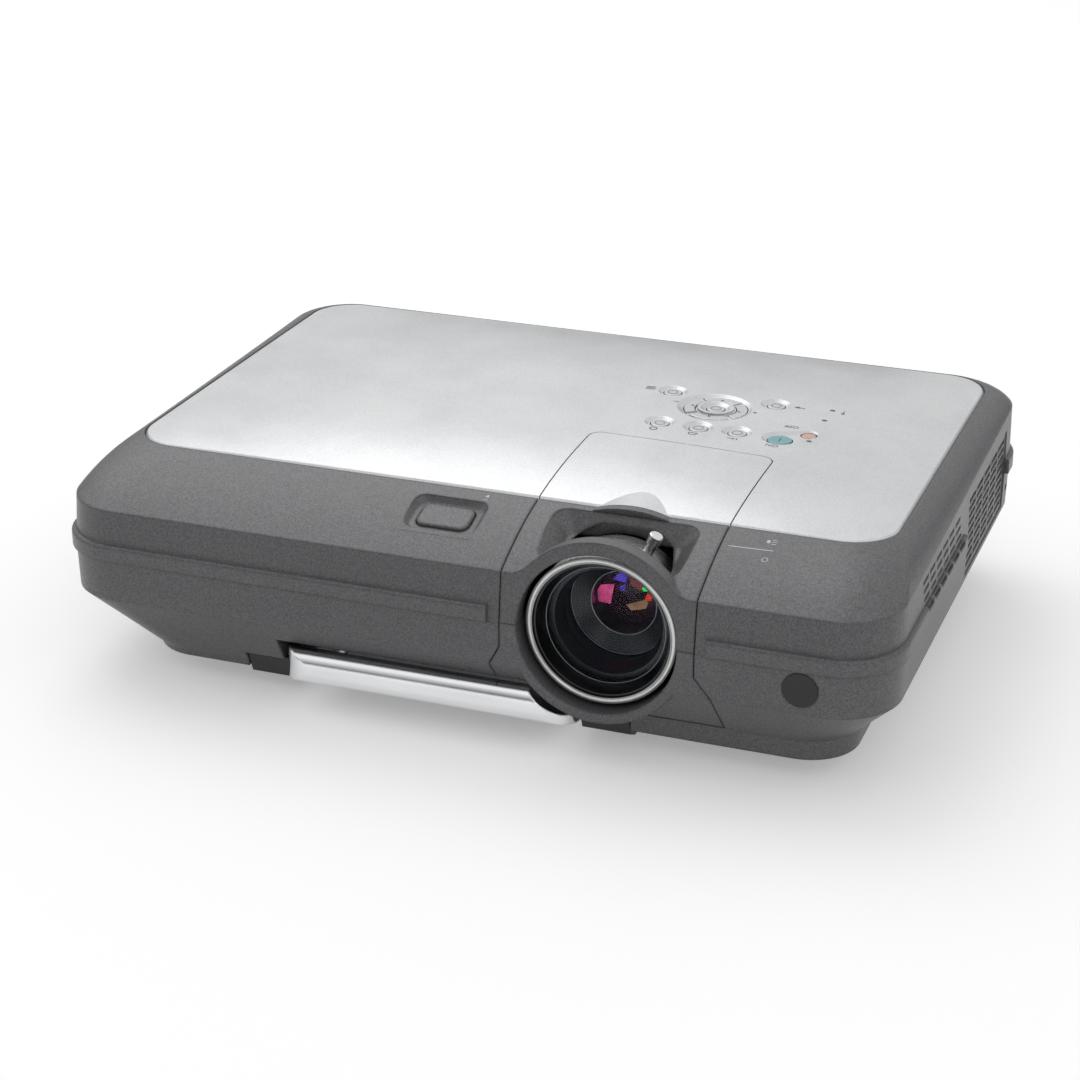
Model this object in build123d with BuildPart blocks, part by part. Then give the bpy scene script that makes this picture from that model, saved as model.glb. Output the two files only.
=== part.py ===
from build123d import *
import math
import os

os.makedirs("parts", exist_ok=True)

# Video projector, standing on its feet on Z = 0.
# X runs to the right as seen from the lens side, the lens looks along -Y, Z is up.
# All sizes are in millimetres.

# Casing, outside
casing_width = 384.0
casing_depth = 282.0
bead_proud = 1.8
bead_height = 7.5
wall_lean = 2.6
corner_radius = 28.0
parting_z = 60.0
ridge_front_z = 82.5
ridge_rear_z = 90.5
low_edge_z = 40.3
base_bottom_z = 11.5
base_top_left_z = 14.0
base_top_right_z = 21.0
base_inset_left = 33.2
base_inset_right = 18.2
base_inset_front = 14.2
base_inset_rear = 11.2
base_corner = 24.0
wall = 2.5

# Silver top panel
panel_inset_side = 13.7
panel_inset_front = 48.2
panel_inset_rear = 10.2
panel_corner = 22.0
panel_front_z = 98.0
panel_rear_z = 97.2
panel_edge = 2.6
bevel_drop = 1.0
panel_skin = 2.4
panel_gap = 0.25
crown_rise = 5.9
ledge = 8.0
slope_swell = 1.9

# Lens bay: bezel, lift-off cover and zoom window
lens_x = 65.7
bezel_inner = 35.3
bezel_wall = 4.4
bezel_depth = 9.0
bezel_ring_length = 20.6
arch_swell = 1.5
arch_blend = 14.0
arch_foot_reach = 0.5
arch_flank_length = 17.0
arch_flank_height = 4.0
cover_half_width = 43.0
cover_length = 119.2
cover_corner = 6.0
seam = 0.5
window_inset = 26.7
window_width = 65.0
window_length = 36.0
window_depth = 7.0
window_flare = 7.5
dish_headroom = 16.0
bulge_radius = 50.0
bulge_width = 36.0
bulge_rise = 2.6
bulge_length = 42.0

# Lens
focus_outer = 32.6
focus_sunk = 6.8
focus_length = 14.0
focus_travel = 1.0
focus_grooves = 72
focus_groove_radius = 0.9
focus_collar = 3.2
focus_wall = 2.4
focus_lip = 0.6
focus_lip_length = 1.0
cell_length = 7.0
cell_inner = 26.6
cell_cone = 5.4
front_glass_lap = 0.8
front_glass_gap = 0.2
front_glass_bulge = 0.9
front_glass_hollow = -0.5
cell_lip = 0.8
cell_clearance = 0.35
zoom_gap = 0.8
zoom_outer = 31.0
zoom_length = 16.6
zoom_teeth = 60
zoom_tooth_length = 5.0
knob_reach = 41.5
knob_tilt = 24.4
knob_stud_radius = 2.2
knob_head_radius = 3.1
knob_head_height = 4.2
zoom_travel = 7.0
zoom_cell_length = 22.0
zoom_cone = 4.0
zoom_cone_radius = 22.4
zoom_glass_lap = 0.6
zoom_glass_setback = 9.0
zoom_glass_bulge = 2.2
zoom_glass_rear_bulge = 1.0
zoom_glass_radius = 15.0
barrel_outer = 27.0
barrel_inner = 24.0
baffle_inner = 21.8
baffle_length = 8.4
barrel_rear_y = -30.0
barrel_flange_width = 66.0
barrel_flange_height = 56.0
barrel_flange = 4.0
ring_clearance = 0.06

# Keys and lights on the top panel
key_radius = 4.2
key_gap = 0.4
key_travel = 0.8
key_sunk = 0.7
key_lip = 1.0
key_flange = 1.0
key_stem_radius = 1.4
well_radius = 7.25
well_depth = 1.2
pad_x = 65.9
pad_y = 30.2
pad_well_radius = 18.0
arrow_outer = 14.8
arrow_inner = 9.8
arrow_span = 78.0
on_x = 103.9
on_y = 3.8
on_radius = 5.6
on_well_radius = 8.2
off_x = 114.6
off_y = 14.2
off_radius = 3.4
off_well_radius = 5.6
round_keys = {
    "menu_key": (40.7, 43.8),
    "undo_key": (90.9, 45.3),
    "auto_key": (47.5, 2.4),
    "keystone_key": (65.8, 2.9),
    "input_key": (83.9, 4.0),
}
light_places = [(117.1, 48.8), (116.7, 34.6), (116.9, 6.2)]
light_radius = 1.3
light_fit = 0.02
key_board_depth = 8.2
key_board_margin = 8.0
board_thick = 1.6

# Height-adjust button and the front foot
button_x = -12.5
button_inset = 28.7
button_width = 24.0
button_length = 15.0
button_corner = 4.0
button_recess = 2.2
button_wall = 2.4
button_flange = 1.2
button_stem = 17.0
foot_x = -12.5
foot_behind_pivot = 10.0
foot_leg = 16.0
foot_travel = 40.0
foot_pad_radius = 12.0
foot_pad_height = 5.0
foot_top_z = 62.0
foot_collar = 2.0
foot_collar_height = 3.0
foot_teeth = 11
foot_tooth_pitch = 3.5
foot_tooth_depth = 1.6
foot_housing_wall = 3.0
foot_housing_top_z = 70.0
slide_gap = 0.35

# Screw feet at the rear, each held by a clip
rear_foot_from_left = 27.0
rear_foot_from_right = 26.0
rear_foot_from_rear = 17.0
rear_foot_radius = 13.0
rear_foot_height = 7.5
rear_foot_grips = 16
rear_stud_radius = 4.0
rear_stud_top_z = 38.0
rear_foot_travel = 8.0
clip_radius = 7.0
clip_thick = 1.2
thread_gap = 0.06

# Carrying handle under the front edge, with its brackets and pins
handle_left_x = -80.0
handle_right_x = 54.0
handle_arm = 13.0
handle_corner = 13.0
handle_bar_depth = 12.0
handle_bar_height = 15.0
handle_bar_inset = 4.8
handle_bar_z = 22.6
handle_reach = 36.4
handle_lens_gap = 3.0
pivot_z = 13.0
pivot_radius = 3.0
pivot_gap = 0.05
hub_radius = 6.5
bracket_width = 22.0
bracket_gap = 0.4
bracket_low_z = 5.5
bracket_lead = 28.0
bay_roof_z = 32.0
bay_margin = 4.0
bay_behind_pivot = 6.0
channel_roof_z = 19.5
arm_roof_z = 25.0
channel_behind_pivot = 10.0

# Lower centre piece of the front
centre_left_low_x = 18.0
centre_right_low_x = 116.0
centre_splay_z = 49.0
centre_low_z = 21.5
centre_foot_lean = 3.0

# Remote-control window
ir_x = 153.4
ir_z = 51.4
ir_radius = 7.45
ir_thick = 3.2
ir_fit = 0.05

# Exhaust grille in the right side
grille_front_y = 14.0
grille_rear_y = 102.0
grille_low_z = 43.0
grille_high_z = 82.0
grille_frame = 2.0
grille_thick = 2.4
grille_sunk = 0.9
grille_columns = 5
grille_rows = 9
grille_rib_y = 2.0
grille_rib_z = 1.6

# Slots and speaker in the right side, near the front
slot_rows = 4
slot_columns = 6
slot_length = 10.5
slot_width = 1.7
slot_pitch_y = 13.0
slot_pitch_z = 4.5
slot_first_y = -72.0
slot_first_z = 66.3
slot_lean = 1.6
speaker_width = 62.0
speaker_height = 20.0
speaker_depth = 8.0
speaker_magnet_radius = 9.0
speaker_magnet_depth = 9.0

# Lock slot in the right side
lock_y = 111.5
lock_z = 50.0
lock_length = 7.0
lock_height = 3.2

# Filter door in the left side, and the filter behind it
door_front_y = -60.0
door_rear_y = 40.0
door_low_z = 44.0
door_high_z = 80.0
door_thick = 2.5
door_gap = 0.5
door_sunk = 0.4
door_pin_radius = 0.8
door_pin_length = 2.0
door_slots = 7
door_slot_pitch = 4.2
door_slot_length = 40.0
door_slot_width = 2.0
filter_gap = 1.0
filter_thick = 6.0
filter_margin = 3.0

# Terminal panel at the rear with its sockets and mains switch
terminal_left_x = -166.0
terminal_right_x = 62.0
terminal_low_z = 31.0
terminal_high_z = 80.0
terminal_plate = 2.0
terminal_sunk = 4.0
socket_fit = 0.2
socket_depth = 14.0
socket_proud = 0.8
socket_mouth_depth = 5.0
video_sockets_x = [-146.0, -106.0, -66.0]
video_z = 66.0
video_width = 31.0
video_height = 12.5
digital_x = -22.0
digital_width = 37.0
serial_x = -70.0
serial_z = 40.0
jacks_x = [14.0, 28.0, 42.0]
jacks_z = [44.0, 66.0]
jack_radius = 4.0
jack_wall = 1.6
jack_proud = 4.0
inlet_x = -152.0
inlet_z = 44.0
inlet_width = 27.0
inlet_height = 20.0
inlet_depth = 18.0
inlet_mouth_depth = 14.0
inlet_wall = 2.0
switch_x = -124.0
switch_width = 13.0
switch_height = 19.0
switch_gap = 1.2
switch_frame = 1.5
switch_frame_depth = 10.0
switch_pin_radius = 1.0
switch_tilt = 8.0

# Fans
fan_half = 24.0
fan_bore = 22.4
fan_reach = 21.6
fan_hub = 9.0
fan_thick = 12.0
fan_spindle = 1.5
fan_strut = 2.4
fan_blades = 7
fan_blade_thick = 1.4
fan_blade_pitch = 38.0
exhaust_inset = 20.7
exhaust_y = 58.0
exhaust_z = 60.5
intake_y = -10.0
intake_z = 62.0

# Optical engine behind the lens
engine_wall = 2.5
engine_low_z = 32.0
engine_high_z = 86.0
engine_slab = 3.0
engine_left_x = -25.0
engine_right_x = 100.0
engine_rear_y = 96.0
engine_bridge_y = 33.0
engine_left_wing_x = 15.0
engine_left_wing_width = 26.0
engine_right_wing_width = 9.0
light_port_margin = 6.0
prism_y = -3.0
prism_half = 15.0
lcd_gap = 3.0
lcd_thick = 3.0
lcd_half = 14.0

# Lamp, its housing and the cover underneath it
lamp_inset_side = 55.2
lamp_inset_rear = 73.2
lamp_house_width = 62.0
lamp_house_depth = 56.0
lamp_house_low_z = 28.0
lamp_house_high_z = 88.0
lamp_house_wall = 2.5
lamp_vents = 5
reflector_radius = 24.0
reflector_length = 36.0
reflector_wall = 2.0
lamp_neck_radius = 6.0
lamp_neck_length = 14.0
lamp_cover_width = 66.0
lamp_cover_length = 56.0
lamp_cover_gap = 0.3
lamp_step = 1.3
lamp_ledge = 3.0
lamp_screw_ledge = 12.0
lamp_screw_inset = 6.0
lamp_grips = 5

# Boards
supply_left_x = -160.0
supply_right_x = -40.0
supply_front_y = -58.0
supply_rear_y = 94.0
supply_z = 26.0
main_left_x = -156.0
main_right_x = -34.0
main_front_y = 22.0
main_rear_y = 120.0
main_z = 57.4
main_tail_right_x = 56.0
main_tail_front_y = 100.0

# Screws, bosses and the ceiling-mount holes in the underside
screw_places = [(-120.0, -70.0), (110.0, -70.0), (-60.0, 100.0), (100.0, 104.0)]
screw_radius = 1.5
screw_head = 2.9
screw_head_height = 1.8
screw_length = 10.0
screw_slot = 0.8
boss_wall = 2.5
mount_spacing_x = 160.0
mount_spacing_y = 120.0
mount_hole_radius = 2.0
mount_hole_depth = 9.0
mount_boss_radius = 6.0
mount_x = 5.0
mount_y = 20.0
support_radius = 3.0

# Values that follow from the sizes above
sky_z = 130.0
side_x = casing_width / 2 - bead_proud
front_y = -(casing_depth / 2 - bead_proud)
rear_y = -front_y
lens_z = parting_z
floor_z = base_bottom_z + wall
base_left_x = base_inset_left - side_x
base_right_x = side_x - base_inset_right
base_front_y = front_y + base_inset_front
base_rear_y = rear_y - base_inset_rear
panel_half_width = side_x - panel_inset_side
panel_front_y = front_y + panel_inset_front
panel_rear_y = rear_y - panel_inset_rear
ridge_front_y = front_y + wall_lean
ridge_rise = (ridge_rear_z - ridge_front_z) / (rear_y - ridge_front_y)
panel_rise = (panel_rear_z - panel_front_z) / (panel_rear_y - panel_front_y)
panel_mid_z = panel_front_z - panel_rise * panel_front_y
strip_mid_y = (ridge_front_y + panel_front_y) / 2
strip_mid_z = (ridge_front_z + panel_front_z) / 2 + slope_swell
strip_drop = panel_front_z - ridge_front_z - slope_swell * 2
strip_angle = math.atan2(strip_drop, panel_front_y - ridge_front_y)
cover_rear_y = front_y + cover_length
bezel_outer = bezel_inner + bezel_wall
bezel_back_y = front_y + bezel_ring_length
window_y = front_y + window_inset
button_y = front_y + button_inset
button_depth = button_recess + button_wall
handle_bar_y = front_y + handle_bar_inset
pivot_y = handle_bar_y + handle_reach
bay_back_y = pivot_y - bay_behind_pivot
channel_back_y = pivot_y + channel_behind_pivot
foot_y = pivot_y + foot_behind_pivot
rear_foot_y = base_rear_y - rear_foot_from_rear
rear_foot_left_x = base_left_x + rear_foot_from_left
rear_foot_right_x = base_right_x - rear_foot_from_right
clip_z = base_bottom_z + 15.5 + rear_foot_travel
lamp_x = side_x - lamp_inset_side
lamp_y = rear_y - lamp_inset_rear
lamp_screw_x = lamp_cover_width / 2 - lamp_screw_inset
lamp_screw_y = lamp_y + lamp_cover_length / 2 - lamp_screw_inset
lamp_screws = [(lamp_x - lamp_screw_x, lamp_screw_y), (lamp_x + lamp_screw_x, lamp_screw_y)]
arrow_middle = (arrow_outer + arrow_inner) / 2
door_outer_x = door_sunk - side_x
door_middle_x = door_outer_x + door_thick / 2
door_axis_z = door_low_z + door_thick / 2
filter_x = door_outer_x + door_thick + filter_gap
intake_x = filter_x + filter_thick
exhaust_x = side_x - exhaust_inset
terminal_outer_y = rear_y - terminal_sunk
switch_axis_y = terminal_outer_y - terminal_plate - 2


def level(height, rise_back=0.0, rise_right=0.0):
    """A plane at a height above the origin that climbs towards the rear or the right."""
    return Plane(origin=(0, 0, height), x_dir=(1, 0, rise_right), z_dir=(-rise_right, -rise_back, 1))


def upright(y):
    """A plane facing the front, with its sketch X to the right and its sketch Y up."""
    return Plane(origin=(0, y, 0), x_dir=(1, 0, 0), z_dir=(0, -1, 0))


def sideways(x):
    """A plane facing the right, with its sketch X to the rear and its sketch Y up."""
    return Plane(origin=(x, 0, 0), x_dir=(0, 1, 0), z_dir=(1, 0, 0))


def rounded(plane, x_low, x_high, y_low, y_high, corner):
    """A rectangle with round corners, given by its sides."""
    with BuildSketch(plane) as sheet:
        with Locations(((x_low + x_high) / 2, (y_low + y_high) / 2)):
            RectangleRounded(x_high - x_low, y_high - y_low, corner)
    return sheet.sketch


def block(x_low, x_high, y_low, y_high, z_low, z_high):
    """A plain box given by its six sides."""
    with BuildPart() as piece:
        with Locations(((x_low + x_high) / 2, (y_low + y_high) / 2, (z_low + z_high) / 2)):
            Box(x_high - x_low, y_high - y_low, z_high - z_low)
    return piece.part


def tube(x, z, y_low, y_high, outer, inner=0.0):
    """A tube or a rod along Y."""
    with BuildPart() as piece:
        with BuildSketch(upright(y_high)):
            with Locations((x, z)):
                Circle(outer)
                if inner > 0:
                    Circle(inner, mode=Mode.SUBTRACT)
        extrude(amount=y_high - y_low)
    return piece.part


def post(x, y, z_low, z_high, outer, inner=0.0):
    """A tube or a rod along Z."""
    with BuildPart() as piece:
        with BuildSketch(Plane.XY.offset(z_low)):
            with Locations((x, y)):
                Circle(outer)
                if inner > 0:
                    Circle(inner, mode=Mode.SUBTRACT)
        extrude(amount=z_high - z_low)
    return piece.part


def rod(x_low, x_high, y, z, radius):
    """A rod along X."""
    with BuildPart() as piece:
        with BuildSketch(sideways(x_low)):
            with Locations((y, z)):
                Circle(radius)
        extrude(amount=x_high - x_low)
    return piece.part


def finish(piece, name):
    """Labels a finished piece and writes its file."""
    piece.part.label = name
    export_step(piece.part, f"parts/{name}.step")


# Outer forms of the casing
def upper_form(inset, drop, top_drop):
    """The upper half of the casing as one solid, inset all round and lowered on top."""
    foot = rounded(level(parting_z), inset - side_x, side_x - inset, front_y + inset,
                   rear_y - inset, corner_radius - inset)
    ridge_x = side_x - 0.6 - inset
    ridge_mid_z = ridge_front_z - ridge_rise * ridge_front_y
    ridge = rounded(level(ridge_mid_z - drop, ridge_rise), -ridge_x, ridge_x,
                    ridge_front_y + inset, rear_y - 0.7 - inset, corner_radius - 1 - inset)
    mid_front_y = (ridge_front_y + panel_front_y) / 2
    mid_rear_y = (rear_y + panel_rear_y) / 2
    mid_x = (side_x + panel_half_width) / 2 + 1 - inset
    mid_front_z = (ridge_front_z + panel_front_z) / 2 + slope_swell
    mid_rear_z = (ridge_rear_z + panel_rear_z) / 2 + slope_swell / 2
    mid_rise = (mid_rear_z - mid_front_z) / (mid_rear_y - mid_front_y)
    middle = rounded(level(mid_front_z - mid_rise * mid_front_y - drop, mid_rise), -mid_x, mid_x,
                     mid_front_y + inset, mid_rear_y - inset, corner_radius - 3 - inset)
    edge_x = panel_half_width - inset
    edge = rounded(level(panel_mid_z - top_drop, panel_rise), -edge_x, edge_x,
                   panel_front_y + inset, panel_rear_y - inset, panel_corner - inset)
    with BuildPart() as form:
        loft([foot, ridge], ruled=True)
        loft([ridge, middle, edge])
    return form.part


def base_sheet(plane, inset):
    """The outline of the low base under the casing."""
    return rounded(plane, base_left_x + inset, base_right_x - inset, base_front_y + inset,
                   base_rear_y - inset, base_corner - inset)


def lower_form(inset, lift):
    """The lower half of the casing as one solid, inset all round and raised below."""
    rise = (base_top_right_z - base_top_left_z) / (base_right_x - base_left_x)
    base_top = level(base_top_left_z - rise * base_left_x + lift, 0.0, rise)
    top = rounded(level(parting_z), inset - side_x, side_x - inset, front_y + inset,
                  rear_y - inset, corner_radius - inset)
    low = rounded(level(low_edge_z + lift / 3), inset + 0.4 - side_x, side_x - 0.4 - inset,
                  front_y + 0.3 + inset, rear_y - 0.3 - inset, corner_radius - inset)
    with BuildPart() as form:
        loft([top, low], ruled=True)
        loft([low, base_sheet(base_top, inset)], ruled=True)
        loft([base_sheet(base_top, inset), base_sheet(level(base_bottom_z + lift), inset + 1)], ruled=True)
    return form.part


def panel_sheet(plane, inset):
    """The outline of the silver top panel."""
    return rounded(plane, inset - panel_half_width, panel_half_width - inset,
                   panel_front_y + inset, panel_rear_y - inset, panel_corner - inset)


def panel_level(drop):
    """The plane of the top panel's edge, lowered by a distance."""
    return level(panel_mid_z - drop, panel_rise)


def crown_z(x, y):
    """Height of the top panel's gently domed surface."""
    fade = 1.0
    if y < -10:
        fade = 1 - ((-10 - y) / (-9 - panel_front_y)) ** 2.85
    if y > 40:
        fade = 1 - ((y - 40) / (panel_rear_y - 39)) ** 2.5
    across = 1 - (abs(x) / (panel_half_width + 1.5)) ** 2.6
    return panel_mid_z + panel_rise * y + crown_rise * across * fade


def under_crown(drop):
    """Everything below the domed surface, which is lowered by a distance."""
    columns = 18
    rows = 14
    x_half = panel_half_width + 1
    y_step = (panel_rear_y - panel_front_y + 1) / rows
    grid = [
        [
            Vector(x, y, crown_z(x, y) - drop)
            for y in (panel_front_y - 0.5 + row * y_step for row in range(rows + 1))
        ]
        for x in (column * 2 * x_half / columns - x_half for column in range(columns + 1))
    ]
    with BuildPart() as form:
        extrude(Face.make_surface_from_array_of_points(grid), amount=40, dir=(0, 0, -1))
    return form.part


def cover_sheet(grow):
    """Plan of the lens cover, from the front to its rear edge."""
    return rounded(Plane.XY, lens_x - cover_half_width - grow, lens_x + cover_half_width + grow,
                   -casing_depth, cover_rear_y + grow, cover_corner + grow)


def cover_prism(grow, z_low, z_high):
    """Everything above or below the lens cover's plan."""
    with BuildPart() as prism:
        with BuildSketch(Plane.XY.offset(z_low)):
            add(cover_sheet(grow))
        extrude(amount=z_high - z_low)
    return prism.part


def strip_plane(x, y):
    """A plane lying on the sloping dark strip, its sketch Y pointing up the slope."""
    height = strip_mid_z + (y - strip_mid_y) * math.tan(strip_angle)
    normal = (0, -math.sin(strip_angle), math.cos(strip_angle))
    return Plane(origin=(x, y, height), x_dir=(1, 0, 0), z_dir=normal)


def strip_block(x, y, width, length, low, high, corner):
    """A rounded block standing square on the dark strip between two depths."""
    with BuildPart() as piece:
        with BuildSketch(strip_plane(x, y).offset(low)):
            RectangleRounded(width, length, corner)
        extrude(amount=high - low)
    return piece.part


def strip_dish(x, y, width, length, depth, flare, corner):
    """A tapering recess in the dark strip."""
    plane = strip_plane(x, y)
    with BuildPart() as piece:
        with BuildSketch(plane.offset(-depth)):
            RectangleRounded(width - flare * 2, length - flare * 2, corner)
        with BuildSketch(plane):
            RectangleRounded(width, length, corner + flare / 2)
        loft(ruled=True)
        with BuildSketch(plane):
            RectangleRounded(width, length, corner + flare / 2)
        extrude(amount=dish_headroom)
    return piece.part


def bead():
    """The half-round rib round the upper shell, just above the parting line."""
    rib_top_z = parting_z + bead_height
    with BuildPart() as rib:
        with BuildSketch(Plane.XY.offset(parting_z)):
            add(rounded(Plane.XY, -side_x - bead_proud, side_x + bead_proud, front_y - bead_proud,
                        rear_y + bead_proud, corner_radius + bead_proud))
        extrude(amount=bead_height)
        fillet(rib.faces().sort_by(Axis.Z)[-1].edges(), bead_proud * 0.9)
        gap_half = cover_half_width + 5
        add(block(lens_x - gap_half, lens_x + gap_half, -casing_depth, front_y + 10,
                  parting_z - 1, rib_top_z + 1), mode=Mode.SUBTRACT)
        add(block(side_x - 10, casing_width, grille_front_y - 9, grille_rear_y - 3,
                  parting_z - 1, rib_top_z + 1), mode=Mode.SUBTRACT)
    return rib.part


def side_slots():
    """The slanted rows of slots in the right side."""
    with BuildPart() as cutter:
        with BuildSketch(sideways(side_x - 12)):
            for row in range(slot_rows):
                for column in range(slot_columns):
                    y = slot_first_y + column * slot_pitch_y - row * slot_lean
                    with Locations((y, slot_first_z + row * slot_pitch_z)):
                        SlotOverall(slot_length, slot_width)
        extrude(amount=20)
    return cutter.part



# Rooms that neighbouring pieces take out of the shells
def panel_seat():
    """The room that the top panel drops into."""
    with BuildPart() as room:
        with BuildSketch():
            add(panel_sheet(Plane.XY, -panel_gap))
        extrude(amount=sky_z)
        split(bisect_by=panel_level(panel_edge), keep=Keep.TOP)
    return room.part


def panel_opening():
    """The opening under the top panel, inside the ledge that carries it."""
    with BuildPart() as room:
        with BuildSketch(Plane.XY.offset(parting_z)):
            add(panel_sheet(Plane.XY, ledge))
        extrude(amount=sky_z)
    return room.part


def side_grille_room(gap):
    """The opening for the exhaust grille in the right side."""
    return block(side_x - 9, side_x + 9, grille_front_y - gap, grille_rear_y + gap,
                 grille_low_z - gap, grille_high_z + gap)


def terminal_room(gap):
    """The opening for the terminal panel in the rear."""
    return block(terminal_left_x - gap, terminal_right_x + gap, terminal_outer_y - 8, rear_y + 9,
                 terminal_low_z - gap, terminal_high_z + gap)


def door_room(gap):
    """The opening for the filter door in the left side."""
    return block(-side_x - 9, -side_x + 9, door_front_y - gap, door_rear_y + gap,
                 door_low_z - gap, door_high_z + gap)


def bezel_ring(y_front, y_back, outer):
    """The round bezel about the lens axis."""
    return tube(lens_x, lens_z, y_front, y_back, outer)


# Upper shell
with BuildPart() as upper_case:
    add(upper_form(0, 0, 0))
    add(bead())
    add(upper_form(wall, wall, panel_edge + wall), mode=Mode.SUBTRACT)
    add(strip_block(button_x, button_y, button_width + 14, button_length + 12, -button_depth, -1, 3))
    add(panel_seat(), mode=Mode.SUBTRACT)
    add(panel_opening(), mode=Mode.SUBTRACT)
    add(strip_dish(button_x, button_y, button_width + 10, button_length + 8, button_recess, 2, button_corner),
        mode=Mode.SUBTRACT)
    add(strip_block(button_x, button_y, button_width + slide_gap * 2, button_length + slide_gap * 2,
                    -button_depth - 5, 0, button_corner + slide_gap), mode=Mode.SUBTRACT)
    add(cover_prism(0, parting_z - 1, sky_z), mode=Mode.SUBTRACT)
    add(side_slots(), mode=Mode.SUBTRACT)
    add(side_grille_room(panel_gap), mode=Mode.SUBTRACT)
    add(terminal_room(panel_gap), mode=Mode.SUBTRACT)
    add(door_room(door_gap), mode=Mode.SUBTRACT)
finish(upper_case, "upper_case")

# Height-adjust button on the dark strip
button_low = -button_depth - slide_gap
with BuildPart() as height_button:
    add(strip_block(button_x, button_y, button_width, button_length, button_low - button_flange, -0.9,
                    button_corner))
    fillet(height_button.faces().filter_by(GeomType.PLANE).sort_by(Axis.Z)[-1].edges(), 1.2)
    add(strip_block(button_x, button_y, button_width + 3, button_length + 3,
                    button_low - button_flange, button_low, button_corner + 1))
    add(strip_block(button_x, button_y, 7, 5, button_low - button_stem, button_low, 1))
finish(height_button, "height_button")


# Silver top panel and the silver plate of the lens cover
def panel_bevel():
    """Everything inside the slanting bevel round the silver panel's edge."""
    with BuildPart() as form:
        loft([panel_sheet(panel_level(bevel_drop + 4), -4), panel_sheet(panel_level(bevel_drop - 10), 10)],
             ruled=True)
    return form.part


def bevelled_panel():
    """The silver panel's outline with its seat and its bevelled edge, not yet domed."""
    with BuildPart() as bevelled:
        with BuildSketch():
            add(panel_sheet(Plane.XY, 0))
        extrude(amount=sky_z)
        split(bisect_by=panel_level(panel_edge), keep=Keep.TOP)
        add(panel_bevel(), mode=Mode.INTERSECT)
    return bevelled.part


def panel_hollow():
    """The room under the silver skin."""
    with BuildPart() as hollow:
        with BuildSketch():
            add(panel_sheet(Plane.XY, ledge + 1))
        extrude(amount=sky_z)
        add(under_crown(panel_skin), mode=Mode.INTERSECT)
    return hollow.part


def panel_blank():
    """The silver skin over the whole top, before the lens cover's plate is parted from it."""
    with BuildPart() as blank:
        add(bevelled_panel())
        add(under_crown(0), mode=Mode.INTERSECT)
        add(panel_hollow(), mode=Mode.SUBTRACT)
    return blank.part


def bulge(y_front, y_back):
    """The low half-round swelling that runs back from the zoom window."""
    top_z = panel_front_z + bulge_rise
    with BuildPart() as hump:
        with BuildSketch(upright(y_back)):
            with Locations((lens_x, top_z - bulge_radius)):
                Circle(bulge_radius)
            with Locations((lens_x, top_z)):
                Rectangle(bulge_width, 6, mode=Mode.INTERSECT)
        extrude(amount=y_back - y_front)
    return hump.part


def silver_bulge():
    """The swelling's silver part, above the seat of the panel."""
    with BuildPart() as hump:
        add(bulge(panel_front_y, panel_front_y + bulge_length))
        add(panel_seat(), mode=Mode.INTERSECT)
    return hump.part


def round_well(x, y, radius, depth, floor_radius):
    """A dished key well in the silver panel."""
    top = crown_z(x, y)
    with BuildPart() as dish:
        with BuildSketch(Plane.XY.offset(top - depth)):
            with Locations((x, y)):
                Circle(floor_radius)
        with BuildSketch(Plane.XY.offset(top + 0.4)):
            with Locations((x, y)):
                Circle(radius + 0.3)
        loft(ruled=True)
    return dish.part



def disc(x, y, radius):
    """A round key outline."""
    with BuildSketch() as sheet:
        with Locations((x, y)):
            Circle(radius)
    return sheet.sketch


def wedge(turn, grow):
    """A pie-slice sheet with its point at the middle of the four-way pad."""
    reach = arrow_outer * 2
    half = math.radians(arrow_span / 2)
    with BuildSketch(Plane(origin=(pad_x, pad_y, 0), x_dir=(1, 0, 0)).rotated((0, 0, turn))) as sheet:
        with BuildLine():
            Polyline((0, 0), (reach * math.cos(half), -reach * math.sin(half)),
                     (reach * math.cos(half), reach * math.sin(half)), close=True)
        make_face()
        if grow > 0:
            offset(amount=grow, kind=Kind.INTERSECTION)
    return sheet.sketch


def arrow(turn, grow):
    """One arc-shaped key outline of the four-way pad, at an angle round the pad."""
    with BuildSketch() as sheet:
        with Locations((pad_x, pad_y)):
            Circle(arrow_outer + grow)
            Circle(arrow_inner - grow, mode=Mode.SUBTRACT)
        add(wedge(turn, grow), mode=Mode.INTERSECT)
    return sheet.sketch


discs = {name: (x, y, key_radius) for name, (x, y) in round_keys.items()}
discs["on_key"] = (on_x, on_y, on_radius)
discs["off_key"] = (off_x, off_y, off_radius)
discs["enter_key"] = (pad_x, pad_y, key_radius)
arrow_turns = {"right_key": 0, "up_key": 90, "left_key": 180, "down_key": 270}


def key_outline(name, grow):
    """The outline of any key in plan, grown all round."""
    if name in arrow_turns:
        return arrow(arrow_turns[name], grow)
    x, y, radius = discs[name]
    return disc(x, y, radius + grow)


def key_place(name):
    """The middle of any key in plan."""
    if name in arrow_turns:
        turn = math.radians(arrow_turns[name])
        return pad_x + arrow_middle * math.cos(turn), pad_y + arrow_middle * math.sin(turn)
    return discs[name][:2]


def power_well():
    """The peanut-shaped well that the ON and OFF keys share."""
    top = crown_z(on_x, on_y)
    with BuildPart() as dish:
        for z, shrink in ((top - well_depth, 1.8), (top + 0.4, -0.2)):
            with BuildSketch(Plane.XY.offset(z)):
                with Locations((on_x, on_y)):
                    Circle(on_well_radius - shrink)
                with Locations((off_x, off_y)):
                    Circle(off_well_radius - shrink)
                make_hull()
        loft(ruled=True)
    return dish.part


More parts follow.
